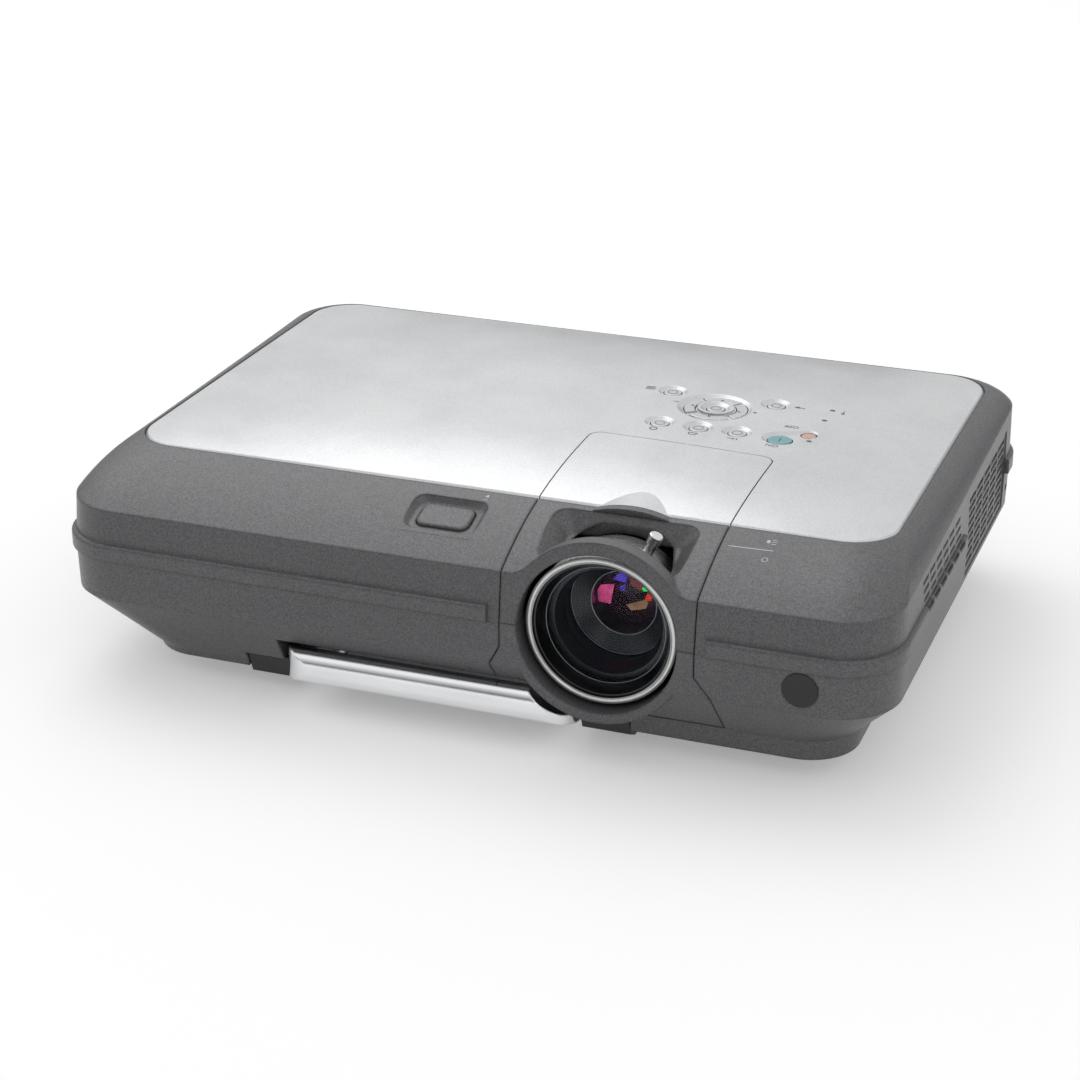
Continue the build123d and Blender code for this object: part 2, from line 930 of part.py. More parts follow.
def pad_well():
    """The round well of the four-way pad, with a raised ring left in its middle."""
    top = crown_z(pad_x, pad_y)
    with BuildPart() as dish:
        add(round_well(pad_x, pad_y, pad_well_radius, well_depth, pad_well_radius - 2.4))
        add(post(pad_x, pad_y, top - 5, top + 5, arrow_inner - key_gap - 0.8), mode=Mode.SUBTRACT)
    return dish.part


silver = panel_blank()
key_names = list(discs) + list(arrow_turns)
with BuildPart() as top_panel:
    add(silver)
    add(cover_prism(0, parting_z, sky_z), mode=Mode.SUBTRACT)
    for x, y in round_keys.values():
        add(round_well(x, y, well_radius, well_depth, key_radius + 1), mode=Mode.SUBTRACT)
    add(power_well(), mode=Mode.SUBTRACT)
    add(pad_well(), mode=Mode.SUBTRACT)
    add(round_well(pad_x, pad_y, key_radius + 3, well_depth, key_radius + 1), mode=Mode.SUBTRACT)
    with BuildSketch(Plane.XY.offset(parting_z)):
        for name in key_names:
            add(key_outline(name, key_gap))
        with Locations(light_places):
            Circle(light_radius)
    extrude(amount=sky_z - parting_z, mode=Mode.SUBTRACT)
finish(top_panel, "top_panel")

key_board_top = crown_z(pad_x, pad_y) - key_board_depth


def make_key(name):
    """A key that slides down through the silver panel onto its switch."""
    x, y = key_place(name)
    top = crown_z(x, y) - key_sunk
    flange_top = crown_z(x, y) - panel_skin - key_gap
    stem_low = key_board_top + key_travel + slide_gap
    lip = 0 if name in arrow_turns else key_lip
    with BuildPart() as key:
        with BuildSketch(Plane.XY.offset(flange_top - key_flange)):
            add(key_outline(name, 0))
        extrude(amount=top - flange_top + key_flange)
        fillet(key.faces().sort_by(Axis.Z)[-1].edges(), 0.5)
        with BuildSketch(Plane.XY.offset(flange_top - key_flange)):
            add(key_outline(name, lip))
        extrude(amount=key_flange)
        add(post(x, y, stem_low, flange_top - key_flange, key_stem_radius))
    finish(key, name)


for name in key_names:
    make_key(name)

key_board_left_x = min(x for x, y in round_keys.values()) - key_board_margin
key_board_right_x = max(x for x, y in light_places) + key_board_margin
key_board_front_y = min(y for x, y in round_keys.values()) - key_board_margin
key_board_rear_y = max(y for x, y in light_places) + key_board_margin
with BuildPart() as key_board:
    add(block(key_board_left_x, key_board_right_x, key_board_front_y, key_board_rear_y,
              key_board_top - board_thick, key_board_top))
    add(block(pad_x - 7, pad_x + 7, key_board_rear_y - 12, key_board_rear_y - 6,
              key_board_top - board_thick - 6, key_board_top - board_thick))
finish(key_board, "key_board")

with BuildPart() as status_leds:
    for x, y in light_places:
        add(post(x, y, key_board_top, crown_z(x, y) - 0.3, light_radius - light_fit))
finish(status_leds, "status_leds")

with BuildPart() as lens_cover_plate:
    add(silver)
    add(silver_bulge())
    add(cover_prism(-seam, parting_z, sky_z), mode=Mode.INTERSECT)
finish(lens_cover_plate, "lens_cover_plate")


# Dark front part of the lens cover, with the upper half of the bezel and the zoom window
def front_wall_plane():
    """The plane of the leaning front wall above the parting line."""
    lean = math.atan2(wall_lean, ridge_front_z - parting_z)
    return Plane(origin=(0, front_y, parting_z), x_dir=(1, 0, 0),
                 z_dir=(0, -math.cos(lean), math.sin(lean)))


def window_walls():
    """The thick frame of the zoom window, under the slope."""
    with BuildPart() as walls:
        add(strip_block(lens_x, window_y, window_width + 6, window_length + 2, -window_depth - wall, -1, 3))
        add(upper_form(0, 0, 0), mode=Mode.INTERSECT)
    return walls.part


def zoom_dish():
    """The tapering window over the zoom ring."""
    return strip_dish(lens_x, window_y, window_width, window_length, window_depth, window_flare, 3)


ridge_height = ridge_front_z - parting_z


def arch(length, low):
    """The arched upper bezel above a height, swept up out of the ridge line."""
    half = cover_half_width - seam
    arch_radius = bezel_outer + arch_swell
    with BuildPart() as form:
        with BuildSketch(front_wall_plane()) as face:
            with Locations((lens_x, ridge_height / 2)):
                Rectangle(half * 2, ridge_height)
            with Locations((lens_x, 0)):
                Circle(arch_radius)
            with Locations((lens_x, low - arch_radius)):
                Rectangle(casing_width, arch_radius * 2, mode=Mode.SUBTRACT)
            crook = math.sqrt(arch_radius ** 2 - ridge_height ** 2)
            feet = [corner for corner in face.vertices()
                    if abs(abs(corner.X - lens_x) - crook) < arch_foot_reach]
            fillet(feet, arch_blend)
        extrude(amount=-length)
    return form.part


def arch_flanks():
    """Where the arch runs back into the slope on both sides of the zoom window."""
    with BuildPart() as form:
        add(arch(arch_flank_length, ridge_height - arch_flank_height))
        add(zoom_dish(), mode=Mode.SUBTRACT)
    return form.part


with BuildPart() as lens_cover:
    add(upper_form(0, 0, 0))
    add(upper_form(wall, wall, panel_edge + wall), mode=Mode.SUBTRACT)
    add(panel_seat(), mode=Mode.SUBTRACT)
    add(window_walls())
    add(bulge(panel_front_y - 5, panel_front_y - panel_gap))
    add(zoom_dish(), mode=Mode.SUBTRACT)
    add(cover_prism(-seam, parting_z + 0.2, sky_z), mode=Mode.INTERSECT)
    add(arch(bezel_depth, 0))
    add(arch_flanks())
    add(bezel_ring(front_y - 2, panel_front_y - 6, bezel_inner), mode=Mode.SUBTRACT)
    add(bezel_ring(panel_front_y - 6, panel_front_y + 5, barrel_outer + 3), mode=Mode.SUBTRACT)
    add(block(0, casing_width, -casing_depth, 0, 0, parting_z + 0.2), mode=Mode.SUBTRACT)
finish(lens_cover, "lens_cover")


# Lower shell and the lower centre piece of the front
def centre_prism(shrink):
    """The lower centre piece's outline in the front view, seen through the front wall."""
    left_x = lens_x - cover_half_width + shrink
    right_x = lens_x + cover_half_width - shrink
    low_left_x = centre_left_low_x + shrink
    low_right_x = centre_right_low_x - shrink
    with BuildPart() as prism:
        with BuildSketch(upright(bay_back_y - 8)):
            with BuildLine():
                Polyline((left_x, parting_z + 1), (left_x, centre_splay_z), (low_left_x, low_edge_z),
                         (low_left_x + centre_foot_lean, centre_low_z + shrink),
                         (low_right_x + centre_foot_lean, centre_low_z + shrink), (low_right_x, low_edge_z),
                         (right_x, centre_splay_z), (right_x, parting_z + 1), close=True)
            make_face()
        extrude(amount=60)
    return prism.part


def handle_bay(grow):
    """The room under the front edge for the handle's bar, its arms and their brackets."""
    left_x = handle_left_x - bay_margin - grow
    right_x = handle_right_x + bay_margin + grow
    outer_left_x = handle_left_x - bracket_width - 1 - grow
    outer_right_x = handle_right_x + bracket_width + 1 + grow
    arm_x = handle_arm + bay_margin + grow
    back_y = channel_back_y + grow
    with BuildPart() as room:
        add(block(left_x, right_x, -casing_depth, bay_back_y + grow, -1, bay_roof_z + grow))
        add(block(outer_left_x, left_x + 1, -casing_depth, back_y, -1, channel_roof_z + grow))
        add(block(right_x - 1, outer_right_x, -casing_depth, back_y, -1, channel_roof_z + grow))
        add(block(left_x, handle_left_x + arm_x, -casing_depth, back_y, -1, arm_roof_z + grow))
        add(block(handle_right_x - arm_x, right_x, -casing_depth, back_y, -1, arm_roof_z + grow))
        add(bezel_ring(bezel_back_y + 2 - grow, 0, bezel_inner + wall - grow), mode=Mode.SUBTRACT)
    return room.part


def mount_posts(radius, z_low, z_high):
    """The four screw bosses, or their holes, for a ceiling mount."""
    with BuildPart() as posts:
        with BuildSketch(Plane.XY.offset(z_low)):
            with Locations((mount_x, mount_y)):
                with GridLocations(mount_spacing_x, mount_spacing_y, 2, 2):
                    Circle(radius)
        extrude(amount=z_high - z_low)
    return posts.part


lamp_front_y = lamp_y - lamp_cover_length / 2
supports = [
    (engine_left_wing_x + 4, barrel_rear_y + 5, engine_low_z - engine_slab),
    (engine_right_x - 4, barrel_rear_y + 5, engine_low_z - engine_slab),
    (engine_left_x + 6, engine_bridge_y + 8, engine_low_z),
    (engine_left_x + 6, engine_rear_y - 6, engine_low_z),
    (engine_right_x - 4, engine_rear_y - 4, engine_low_z),
    (lamp_x - 25, lamp_front_y - 1, lamp_house_low_z),
    (lamp_x + 25, lamp_front_y - 1, lamp_house_low_z),
    (supply_left_x + 10, supply_front_y + 5, supply_z),
    (supply_right_x - 5, supply_front_y + 5, supply_z),
    (supply_right_x - 5, supply_rear_y - 5, supply_z),
    (supply_left_x + 10, supply_rear_y - 5, supply_z),
    (main_left_x + 6, main_rear_y - 8, main_z),
    (main_right_x - 2.5, main_rear_y - 8, main_z),
    (main_right_x - 2.5, main_front_y + 5, main_z),
    (main_tail_right_x - 4, main_rear_y - 8, main_z),
]


def bosses():
    """Everything that stands up from the floor of the lower shell."""
    with BuildPart() as group:
        add(mount_posts(mount_boss_radius, 0, base_bottom_z + mount_hole_depth + wall))
        for x in (rear_foot_left_x, rear_foot_right_x):
            add(post(x, rear_foot_y, 0, floor_z + 10, rear_stud_radius + boss_wall + 1.5))
        for x, y in screw_places:
            add(post(x, y, 0, floor_z + screw_length + 1, screw_radius + boss_wall))
        for x, y in lamp_screws:
            add(post(x, y, 0, lamp_house_low_z, screw_radius + boss_wall))
        for x, y, top_z in supports:
            add(post(x, y, 0, top_z, support_radius))
        add(block(exhaust_x, exhaust_x + fan_thick, exhaust_y - 18, exhaust_y + 18, 0, exhaust_z - fan_half))
        add(block(intake_x, intake_x + fan_thick, intake_y - 18, intake_y + 18, 0, intake_z - fan_half))
    return group.part


def lower_blank():
    """The lower shell before its openings are cut."""
    with BuildPart() as room:
        add(lower_form(wall, wall))
        add(handle_bay(wall), mode=Mode.SUBTRACT)
        add(bosses(), mode=Mode.SUBTRACT)
    with BuildPart() as shell:
        add(lower_form(0, 0))
        add(room.part, mode=Mode.SUBTRACT)
        add(handle_bay(0), mode=Mode.SUBTRACT)
    return shell.part


def lamp_opening():
    """The stepped opening under the lamp that the lamp cover closes."""
    x_half = lamp_cover_width / 2 + lamp_cover_gap
    y_half = lamp_cover_length / 2 + lamp_cover_gap
    with BuildPart() as opening:
        add(block(lamp_x - x_half, lamp_x + x_half, lamp_y - y_half, lamp_y + y_half,
                  0, base_bottom_z + lamp_step))
        add(block(lamp_x - x_half + lamp_ledge, lamp_x + x_half - lamp_ledge, lamp_y - y_half + lamp_ledge,
                  lamp_y + y_half - lamp_screw_ledge, 0, floor_z + 5))
    return opening.part


lower_shell = lower_blank()
case_screw_low_z = base_bottom_z + 0.2
case_screw_top_z = case_screw_low_z + screw_head_height + screw_length
foot_room = foot_leg / 2 + slide_gap
pin_reach_y = door_gap + door_pin_length
with BuildPart() as lower_case:
    add(lower_shell)
    add(centre_prism(0), mode=Mode.SUBTRACT)
    add(bezel_ring(front_y - 5, bezel_back_y + 2, bezel_outer + seam), mode=Mode.SUBTRACT)
    add(mount_posts(mount_hole_radius, base_bottom_z - 1, base_bottom_z + mount_hole_depth),
        mode=Mode.SUBTRACT)
    for x in (rear_foot_left_x, rear_foot_right_x):
        add(post(x, rear_foot_y, 0, floor_z + 12, rear_stud_radius + thread_gap), mode=Mode.SUBTRACT)
    for x, y in screw_places:
        add(post(x, y, 0, case_screw_top_z, screw_radius), mode=Mode.SUBTRACT)
        add(post(x, y, 0, case_screw_low_z + screw_head_height, screw_head + 0.5), mode=Mode.SUBTRACT)
    for x, y in lamp_screws:
        add(post(x, y, 0, base_bottom_z + screw_length, screw_radius), mode=Mode.SUBTRACT)
    add(block(foot_x - foot_room, foot_x + foot_room, foot_y - foot_room, foot_y + foot_room, 0, floor_z + 5),
        mode=Mode.SUBTRACT)
    add(lamp_opening(), mode=Mode.SUBTRACT)
    add(tube(door_middle_x, door_axis_z, door_front_y - pin_reach_y - 0.5, door_rear_y + pin_reach_y + 0.5,
             door_pin_radius + pivot_gap), mode=Mode.SUBTRACT)
    add(side_grille_room(panel_gap), mode=Mode.SUBTRACT)
    add(terminal_room(panel_gap), mode=Mode.SUBTRACT)
    add(door_room(door_gap), mode=Mode.SUBTRACT)
    add(block(side_x - 9, side_x + 9, lock_y - lock_length / 2, lock_y + lock_length / 2,
              lock_z - lock_height / 2, lock_z + lock_height / 2), mode=Mode.SUBTRACT)
    add(tube(ir_x, ir_z, front_y - 5, front_y + 9, ir_radius + ir_fit), mode=Mode.SUBTRACT)
finish(lower_case, "lower_case")

with BuildPart() as lens_front_panel:
    add(lower_shell)
    add(centre_prism(seam), mode=Mode.INTERSECT)
    add(bezel_ring(front_y + 0.6, bezel_back_y, bezel_outer))
    add(block(0, casing_width / 2, -casing_depth, 0, parting_z, sky_z), mode=Mode.SUBTRACT)
    add(bezel_ring(front_y - 2, 0, bezel_inner), mode=Mode.SUBTRACT)
finish(lens_front_panel, "lens_front_panel")

with BuildPart() as ir_window:
    add(tube(ir_x, ir_z, front_y - 0.2, front_y - 0.2 + ir_thick, ir_radius))
finish(ir_window, "ir_window")


# Handle, its pins and its brackets
def side_section(x_low, x_high, whole_arm):
    """The handle's side-view section between two X stations, with or without the hub."""
    with BuildPart() as piece:
        with BuildSketch(sideways(x_low)):
            with Locations((handle_bar_y, handle_bar_z)):
                RectangleRounded(handle_bar_depth, handle_bar_height, handle_bar_depth * 0.45)
            if whole_arm:
                with Locations((pivot_y, pivot_z)):
                    Circle(hub_radius)
                make_hull()
        extrude(amount=x_high - x_low)
    return piece.part


def handle_plan():
    """Everything inside the handle's plan outline, with its rounded corners."""
    with BuildPart() as plan:
        with BuildSketch():
            add(rounded(Plane.XY, handle_left_x, handle_right_x, handle_bar_y - handle_bar_depth / 2,
                        pivot_y + hub_radius + 20, handle_corner))
        extrude(amount=parting_z)
    return plan.part


with BuildPart() as carrying_handle:
    add(side_section(handle_left_x, handle_right_x, False))
    add(side_section(handle_left_x, handle_left_x + handle_arm, True))
    add(side_section(handle_right_x - handle_arm, handle_right_x, True))
    add(handle_plan(), mode=Mode.INTERSECT)
    add(bezel_ring(-casing_depth, bezel_back_y + 3, bezel_outer + handle_lens_gap), mode=Mode.SUBTRACT)
    add(bezel_ring(-casing_depth, 0, bezel_inner + wall + 2), mode=Mode.SUBTRACT)
    add(rod(handle_left_x - 1, handle_right_x + 1, pivot_y, pivot_z, pivot_radius + pivot_gap),
        mode=Mode.SUBTRACT)
finish(carrying_handle, "carrying_handle")

bracket_front_y = pivot_y - bracket_lead
bracket_rear_y = channel_back_y - 2
bracket_left_x = handle_left_x - bracket_gap
bracket_right_x = handle_right_x + bracket_gap
pin_left_x = bracket_left_x - bracket_width / 2
pin_right_x = bracket_right_x + bracket_width / 2
with BuildPart() as handle_brackets:
    for x_low in (bracket_left_x - bracket_width, bracket_right_x):
        with BuildSketch(sideways(x_low)):
            with BuildLine():
                Polyline((bracket_front_y, channel_roof_z), (bracket_front_y + 4, bracket_low_z + 3),
                         (bracket_front_y + 10, bracket_low_z), (bracket_rear_y - 6, bracket_low_z),
                         (bracket_rear_y, channel_roof_z), close=True)
            make_face()
        extrude(amount=bracket_width)
    add(rod(pin_left_x, pin_right_x, pivot_y, pivot_z, pivot_radius), mode=Mode.SUBTRACT)
finish(handle_brackets, "handle_brackets")

with BuildPart() as handle_pins:
    add(rod(pin_left_x, handle_left_x + handle_arm - 1, pivot_y, pivot_z, pivot_radius))
    add(rod(handle_right_x - handle_arm + 1, pin_right_x, pivot_y, pivot_z, pivot_radius))
finish(handle_pins, "handle_pins")

# Front foot that drops when the height button is held, and the housing that guides it
foot_collar_low_z = foot_top_z - foot_collar_height
foot_stop_z = foot_collar_low_z - foot_travel - 0.6
with BuildPart() as front_foot:
    add(post(foot_x, foot_y, 0, foot_pad_height, foot_pad_radius))
    fillet(front_foot.edges().filter_by(GeomType.CIRCLE), 1.2)
    with BuildSketch(Plane.XY.offset(foot_pad_height - 1)):
        with Locations((foot_x, foot_y)):
            RectangleRounded(foot_leg, foot_leg, 2)
    extrude(amount=foot_top_z - foot_pad_height + 1)
    with BuildSketch(Plane.XY.offset(foot_collar_low_z)):
        with Locations((foot_x, foot_y)):
            RectangleRounded(foot_leg + foot_collar * 2, foot_leg + foot_collar * 2, 2)
    extrude(amount=foot_collar_height)
    rack_y = foot_y - foot_leg / 2 - 0.01
    with BuildSketch(sideways(foot_x - 3)):
        for tooth in range(foot_teeth):
            tooth_z = floor_z + 2 + tooth * foot_tooth_pitch
            with BuildLine():
                Polyline((rack_y, tooth_z), (rack_y + foot_tooth_depth, tooth_z),
                         (rack_y, tooth_z + foot_tooth_depth * 1.5), close=True)
            make_face()
    extrude(amount=6, mode=Mode.SUBTRACT)
finish(front_foot, "front_foot")

with BuildPart() as foot_housing:
    collar_room = foot_room + foot_collar
    outer = collar_room + foot_housing_wall
    add(block(foot_x - outer, foot_x + outer, foot_y - outer, foot_y + outer, floor_z, foot_housing_top_z))
    add(block(foot_x - collar_room, foot_x + collar_room, foot_y - collar_room, foot_y + collar_room,
              foot_stop_z, foot_housing_top_z + 1), mode=Mode.SUBTRACT)
    add(block(foot_x - foot_room, foot_x + foot_room, foot_y - foot_room, foot_y + foot_room,
              0, foot_housing_top_z), mode=Mode.SUBTRACT)
finish(foot_housing, "foot_housing")


# Screw feet at the rear, each with the clip that keeps it in the case
def make_rear_foot(side, x):
    """A round foot on a threaded stud, and the split clip in the stud's groove."""
    groove_radius = rear_stud_radius - 1
    with BuildPart() as screw_foot:
        add(post(x, rear_foot_y, 0, rear_foot_height, rear_foot_radius))
        fillet(screw_foot.edges().sort_by(Axis.Z)[0], 1.5)
        with BuildSketch(Plane.XY.offset(2)):
            with Locations((x, rear_foot_y)):
                with PolarLocations(rear_foot_radius + 0.6, rear_foot_grips):
                    Circle(1.3)
        extrude(amount=rear_foot_height, mode=Mode.SUBTRACT)
        add(post(x, rear_foot_y, rear_foot_height - 0.5, rear_stud_top_z, rear_stud_radius))
        add(post(x, rear_foot_y, clip_z, clip_z + clip_thick, rear_stud_radius + 1, groove_radius),
            mode=Mode.SUBTRACT)
    finish(screw_foot, f"{side}_foot")
    with BuildPart() as foot_clip:
        add(post(x, rear_foot_y, clip_z + thread_gap, clip_z + clip_thick - thread_gap, clip_radius,
                 groove_radius + thread_gap))
        add(block(x - 2, x + 2, rear_foot_y - clip_radius - 1, rear_foot_y - 2,
                  clip_z - 1, clip_z + clip_thick + 1), mode=Mode.SUBTRACT)
    finish(foot_clip, f"{side}_foot_clip")


make_rear_foot("left", rear_foot_left_x)
make_rear_foot("right", rear_foot_right_x)

# Exhaust grille in the right side
grille_outer_x = side_x - grille_sunk
grille_mid = ((grille_front_y + grille_rear_y) / 2, (grille_low_z + grille_high_z) / 2)
cell_y = (grille_rear_y - grille_front_y - grille_frame * 2) / grille_columns
cell_z = (grille_high_z - grille_low_z - grille_frame * 2) / grille_rows
with BuildPart() as side_grille:
    add(block(grille_outer_x - grille_thick, grille_outer_x, grille_front_y, grille_rear_y,
              grille_low_z, grille_high_z))
    with BuildSketch(sideways(grille_outer_x - 5)):
        with Locations(grille_mid):
            with GridLocations(cell_y, cell_z, grille_columns, grille_rows):
                Rectangle(cell_y - grille_rib_y, cell_z - grille_rib_z)
    extrude(amount=9, mode=Mode.SUBTRACT)
finish(side_grille, "side_grille")

# Speaker behind the slots
speaker_outer_x = side_x - wall - 1.2
speaker_y = slot_first_y + (slot_columns - 1) / 2 * slot_pitch_y - slot_lean
speaker_z = slot_first_z + (slot_rows - 1) / 2 * slot_pitch_z
with BuildPart() as speaker:
    add(block(speaker_outer_x - speaker_depth, speaker_outer_x, speaker_y - speaker_width / 2,
              speaker_y + speaker_width / 2, speaker_z - speaker_height / 2, speaker_z + speaker_height / 2))
    add(rod(speaker_outer_x - speaker_depth - speaker_magnet_depth, speaker_outer_x - speaker_depth,
            speaker_y, speaker_z, speaker_magnet_radius))
finish(speaker, "speaker")

# Terminal panel at the rear with its sockets
socket_blocks = [(x, video_z, video_width, video_height) for x in video_sockets_x]
socket_blocks.append((digital_x, video_z, digital_width, video_height))
socket_blocks.append((serial_x, serial_z, video_width, video_height))
terminal_inner_y = terminal_outer_y - terminal_plate
switch_room_width = switch_width + switch_gap * 2
switch_room_height = switch_height + switch_gap * 2
with BuildPart() as rear_panel:
    add(block(terminal_left_x, terminal_right_x, terminal_inner_y, terminal_outer_y,
              terminal_low_z, terminal_high_z))
    with BuildSketch(upright(terminal_inner_y)):
        with Locations((switch_x, inlet_z)):
            Rectangle(switch_room_width + switch_frame * 2, switch_room_height + switch_frame * 2)
    extrude(amount=switch_frame_depth)
    with BuildSketch(upright(terminal_outer_y + 5)):
        for x, z, width, height in socket_blocks:
            with Locations((x, z)):
                Rectangle(width + socket_fit * 2, height + socket_fit * 2)
        for z in jacks_z:
            with Locations([(x, z) for x in jacks_x]):
                Circle(jack_radius + socket_fit)
        with Locations((inlet_x, inlet_z)):
            Rectangle(inlet_width + socket_fit * 2, inlet_height + socket_fit * 2)
        with Locations((switch_x, inlet_z)):
            Rectangle(switch_room_width, switch_room_height)
    extrude(amount=30, mode=Mode.SUBTRACT)
    add(rod(switch_x - switch_room_width, switch_x + switch_room_width, switch_axis_y, inlet_z,
            switch_pin_radius + pivot_gap), mode=Mode.SUBTRACT)
finish(rear_panel, "rear_panel")

with BuildPart() as signal_sockets:
    for x, z, width, height in socket_blocks:
        add(block(x - width / 2, x + width / 2, terminal_outer_y - socket_depth,
                  terminal_outer_y + socket_proud, z - height / 2, z + height / 2))
        with BuildSketch(upright(terminal_outer_y + socket_proud)):
            with Locations((x, z)):
                Trapezoid(width - 12, height - 4.5, 80)
        extrude(amount=socket_mouth_depth + socket_proud, mode=Mode.SUBTRACT)
    for z in jacks_z:
        for x in jacks_x:
            add(tube(x, z, terminal_outer_y - socket_depth, terminal_outer_y + jack_proud, jack_radius,
                     jack_radius - jack_wall))
            add(tube(x, z, terminal_outer_y - socket_depth, terminal_outer_y - socket_depth / 2, jack_radius))
finish(signal_sockets, "signal_sockets")

with BuildPart() as ac_inlet:
    add(block(inlet_x - inlet_width / 2, inlet_x + inlet_width / 2, terminal_outer_y - inlet_depth,
              terminal_outer_y + 1, inlet_z - inlet_height / 2, inlet_z + inlet_height / 2))
    with BuildSketch(upright(terminal_outer_y + 1)):
        with Locations((inlet_x, inlet_z)):
            RectangleRounded(inlet_width - inlet_wall * 2, inlet_height - inlet_wall * 2, 3)
    extrude(amount=inlet_mouth_depth, mode=Mode.SUBTRACT)
    for x, z in ((-7, -2), (0, 3), (7, -2)):
        add(block(inlet_x + x - 1, inlet_x + x + 1, terminal_outer_y - inlet_depth + 1,
                  terminal_outer_y - 3, inlet_z + z - 2, inlet_z + z + 2))
finish(ac_inlet, "ac_inlet")

# Mains rocker beside the inlet, tilted to OFF at rest, on two stub pins
switch_angle = math.radians(switch_tilt)
switch_plane = Plane(origin=(switch_x - switch_width / 2, switch_axis_y, inlet_z),
                     x_dir=(0, math.cos(switch_angle), math.sin(switch_angle)), z_dir=(1, 0, 0))
switch_face = terminal_outer_y - switch_axis_y
with BuildPart() as power_switch:
    with BuildSketch(switch_plane):
        with BuildLine():
            Polyline((-3, -switch_height / 2 + 2), (switch_face + 1, -switch_height / 2), (switch_face - 1, 0),
                     (switch_face + 1, switch_height / 2), (-3, switch_height / 2 - 2), close=True)
        make_face()
    extrude(amount=switch_width)
    pin_half = switch_width / 2 + switch_gap + switch_frame * 0.6
    add(rod(switch_x - pin_half, switch_x + pin_half, switch_axis_y, inlet_z, switch_pin_radius))
finish(power_switch, "power_switch")

# Hinged filter door in the left side, and the foam filter behind it
with BuildPart() as filter_door:
    add(block(door_outer_x, door_outer_x + door_thick, door_front_y, door_rear_y, door_axis_z, door_high_z))
    add(tube(door_middle_x, door_axis_z, door_front_y, door_rear_y, door_thick / 2))
    add(tube(door_middle_x, door_axis_z, door_front_y - pin_reach_y, door_rear_y + pin_reach_y,
             door_pin_radius))
    with BuildSketch(sideways(door_outer_x - 1)):
        with Locations(((door_front_y + door_rear_y) / 2, (door_low_z + door_high_z) / 2 + 1)):
            with GridLocations(door_slot_length + 4, door_slot_pitch, 2, door_slots):
                SlotOverall(door_slot_length, door_slot_width)
    extrude(amount=door_thick + 2, mode=Mode.SUBTRACT)
finish(filter_door, "filter_door")

with BuildPart() as air_filter:
    add(block(filter_x, filter_x + filter_thick, door_front_y + filter_margin, door_rear_y - filter_margin,
              door_low_z + filter_margin, door_high_z - filter_margin))
finish(air_filter, "air_filter")


# Cooling fans
def blade(x, y, z, turn, length):
    """One pitched fan blade, at an angle round a spindle along X."""
    angle = math.radians(turn)
    pitch = math.radians(fan_blade_pitch)
    outward = (0, math.cos(angle), math.sin(angle))
    across = (math.cos(pitch), -math.sin(pitch) * math.sin(angle), math.sin(pitch) * math.cos(angle))
    with BuildPart() as piece:
        with BuildSketch(Plane(origin=(x, y, z), x_dir=across, z_dir=outward).offset(fan_hub / 2)):
            Rectangle(length * 1.3, fan_blade_thick)
        extrude(amount=fan_reach)
    return piece.part


def make_fan(name, x_low, y, z):
    """An axial fan whose rotor spins on a fixed spindle along X."""
    with BuildPart() as frame:
        add(block(x_low, x_low + fan_thick, y - fan_half, y + fan_half, z - fan_half, z + fan_half))
        add(rod(x_low - 1, x_low + fan_thick + 1, y, z, fan_bore), mode=Mode.SUBTRACT)
        add(rod(x_low, x_low + 2, y, z, fan_hub))
        add(block(x_low, x_low + 2, y - fan_half, y + fan_half, z - fan_strut / 2, z + fan_strut / 2))
        add(block(x_low, x_low + 2, y - fan_strut / 2, y + fan_strut / 2, z - fan_half, z + fan_half))
        add(rod(x_low, x_low + fan_thick - 2.5, y, z, fan_spindle))
    finish(frame, f"{name}_frame")
    rotor_low_x = x_low + 2.6
    rotor_high_x = x_low + fan_thick - 1.6
    with BuildPart() as rotor:
        for number in range(fan_blades):
            add(blade((rotor_low_x + rotor_high_x) / 2, y, z, number * 360 / fan_blades,
                      rotor_high_x - rotor_low_x))
        add(rod(rotor_low_x, rotor_high_x, y, z, fan_reach), mode=Mode.INTERSECT)
        add(rod(rotor_low_x, rotor_high_x, y, z, fan_hub))
        add(rod(rotor_low_x - 1, x_low + fan_thick - 2, y, z, fan_spindle + pivot_gap), mode=Mode.SUBTRACT)
    finish(rotor, f"{name}_rotor")


make_fan("exhaust_fan", exhaust_x, exhaust_y, exhaust_z)
make_fan("intake_fan", intake_x, intake_y, intake_z)

# Focus ring with the front lens it carries
def cone(y_front, y_rear, front_radius, rear_radius):
    """A cone about the lens axis that narrows towards the rear."""
    with BuildPart() as piece:
        with BuildSketch(upright(y_rear)) as rear:
            with Locations((lens_x, lens_z)):
                Circle(rear_radius)
        with BuildSketch(upright(y_front)) as front:
            with Locations((lens_x, lens_z)):
                Circle(front_radius)
        loft([rear.sketch, front.sketch], ruled=True)
    return piece.part


focus_front_y = front_y + focus_sunk
focus_rear_y = focus_front_y + focus_length
cell_outer = focus_outer - focus_wall
cell_front_y = focus_front_y + focus_travel + 0.2
cell_rear_y = cell_front_y + cell_length
barrel_front_y = focus_rear_y - focus_collar - 0.6
barrel_bearing = barrel_outer + ring_clearance
with BuildPart() as focus_ring:
    add(tube(lens_x, lens_z, focus_front_y, focus_rear_y, focus_outer, cell_outer + cell_clearance))
    add(tube(lens_x, lens_z, focus_rear_y - focus_collar, focus_rear_y, focus_outer, barrel_bearing))
    add(tube(lens_x, lens_z, focus_front_y, focus_front_y + focus_lip_length, focus_outer + focus_lip,
             cell_outer + cell_clearance))
    with BuildSketch(upright(focus_rear_y)):
        with Locations((lens_x, lens_z)):
            with PolarLocations(focus_outer + focus_groove_radius * 0.4, focus_grooves):
                Circle(focus_groove_radius)
    extrude(amount=focus_length * 0.75, mode=Mode.SUBTRACT)
finish(focus_ring, "focus_ring")

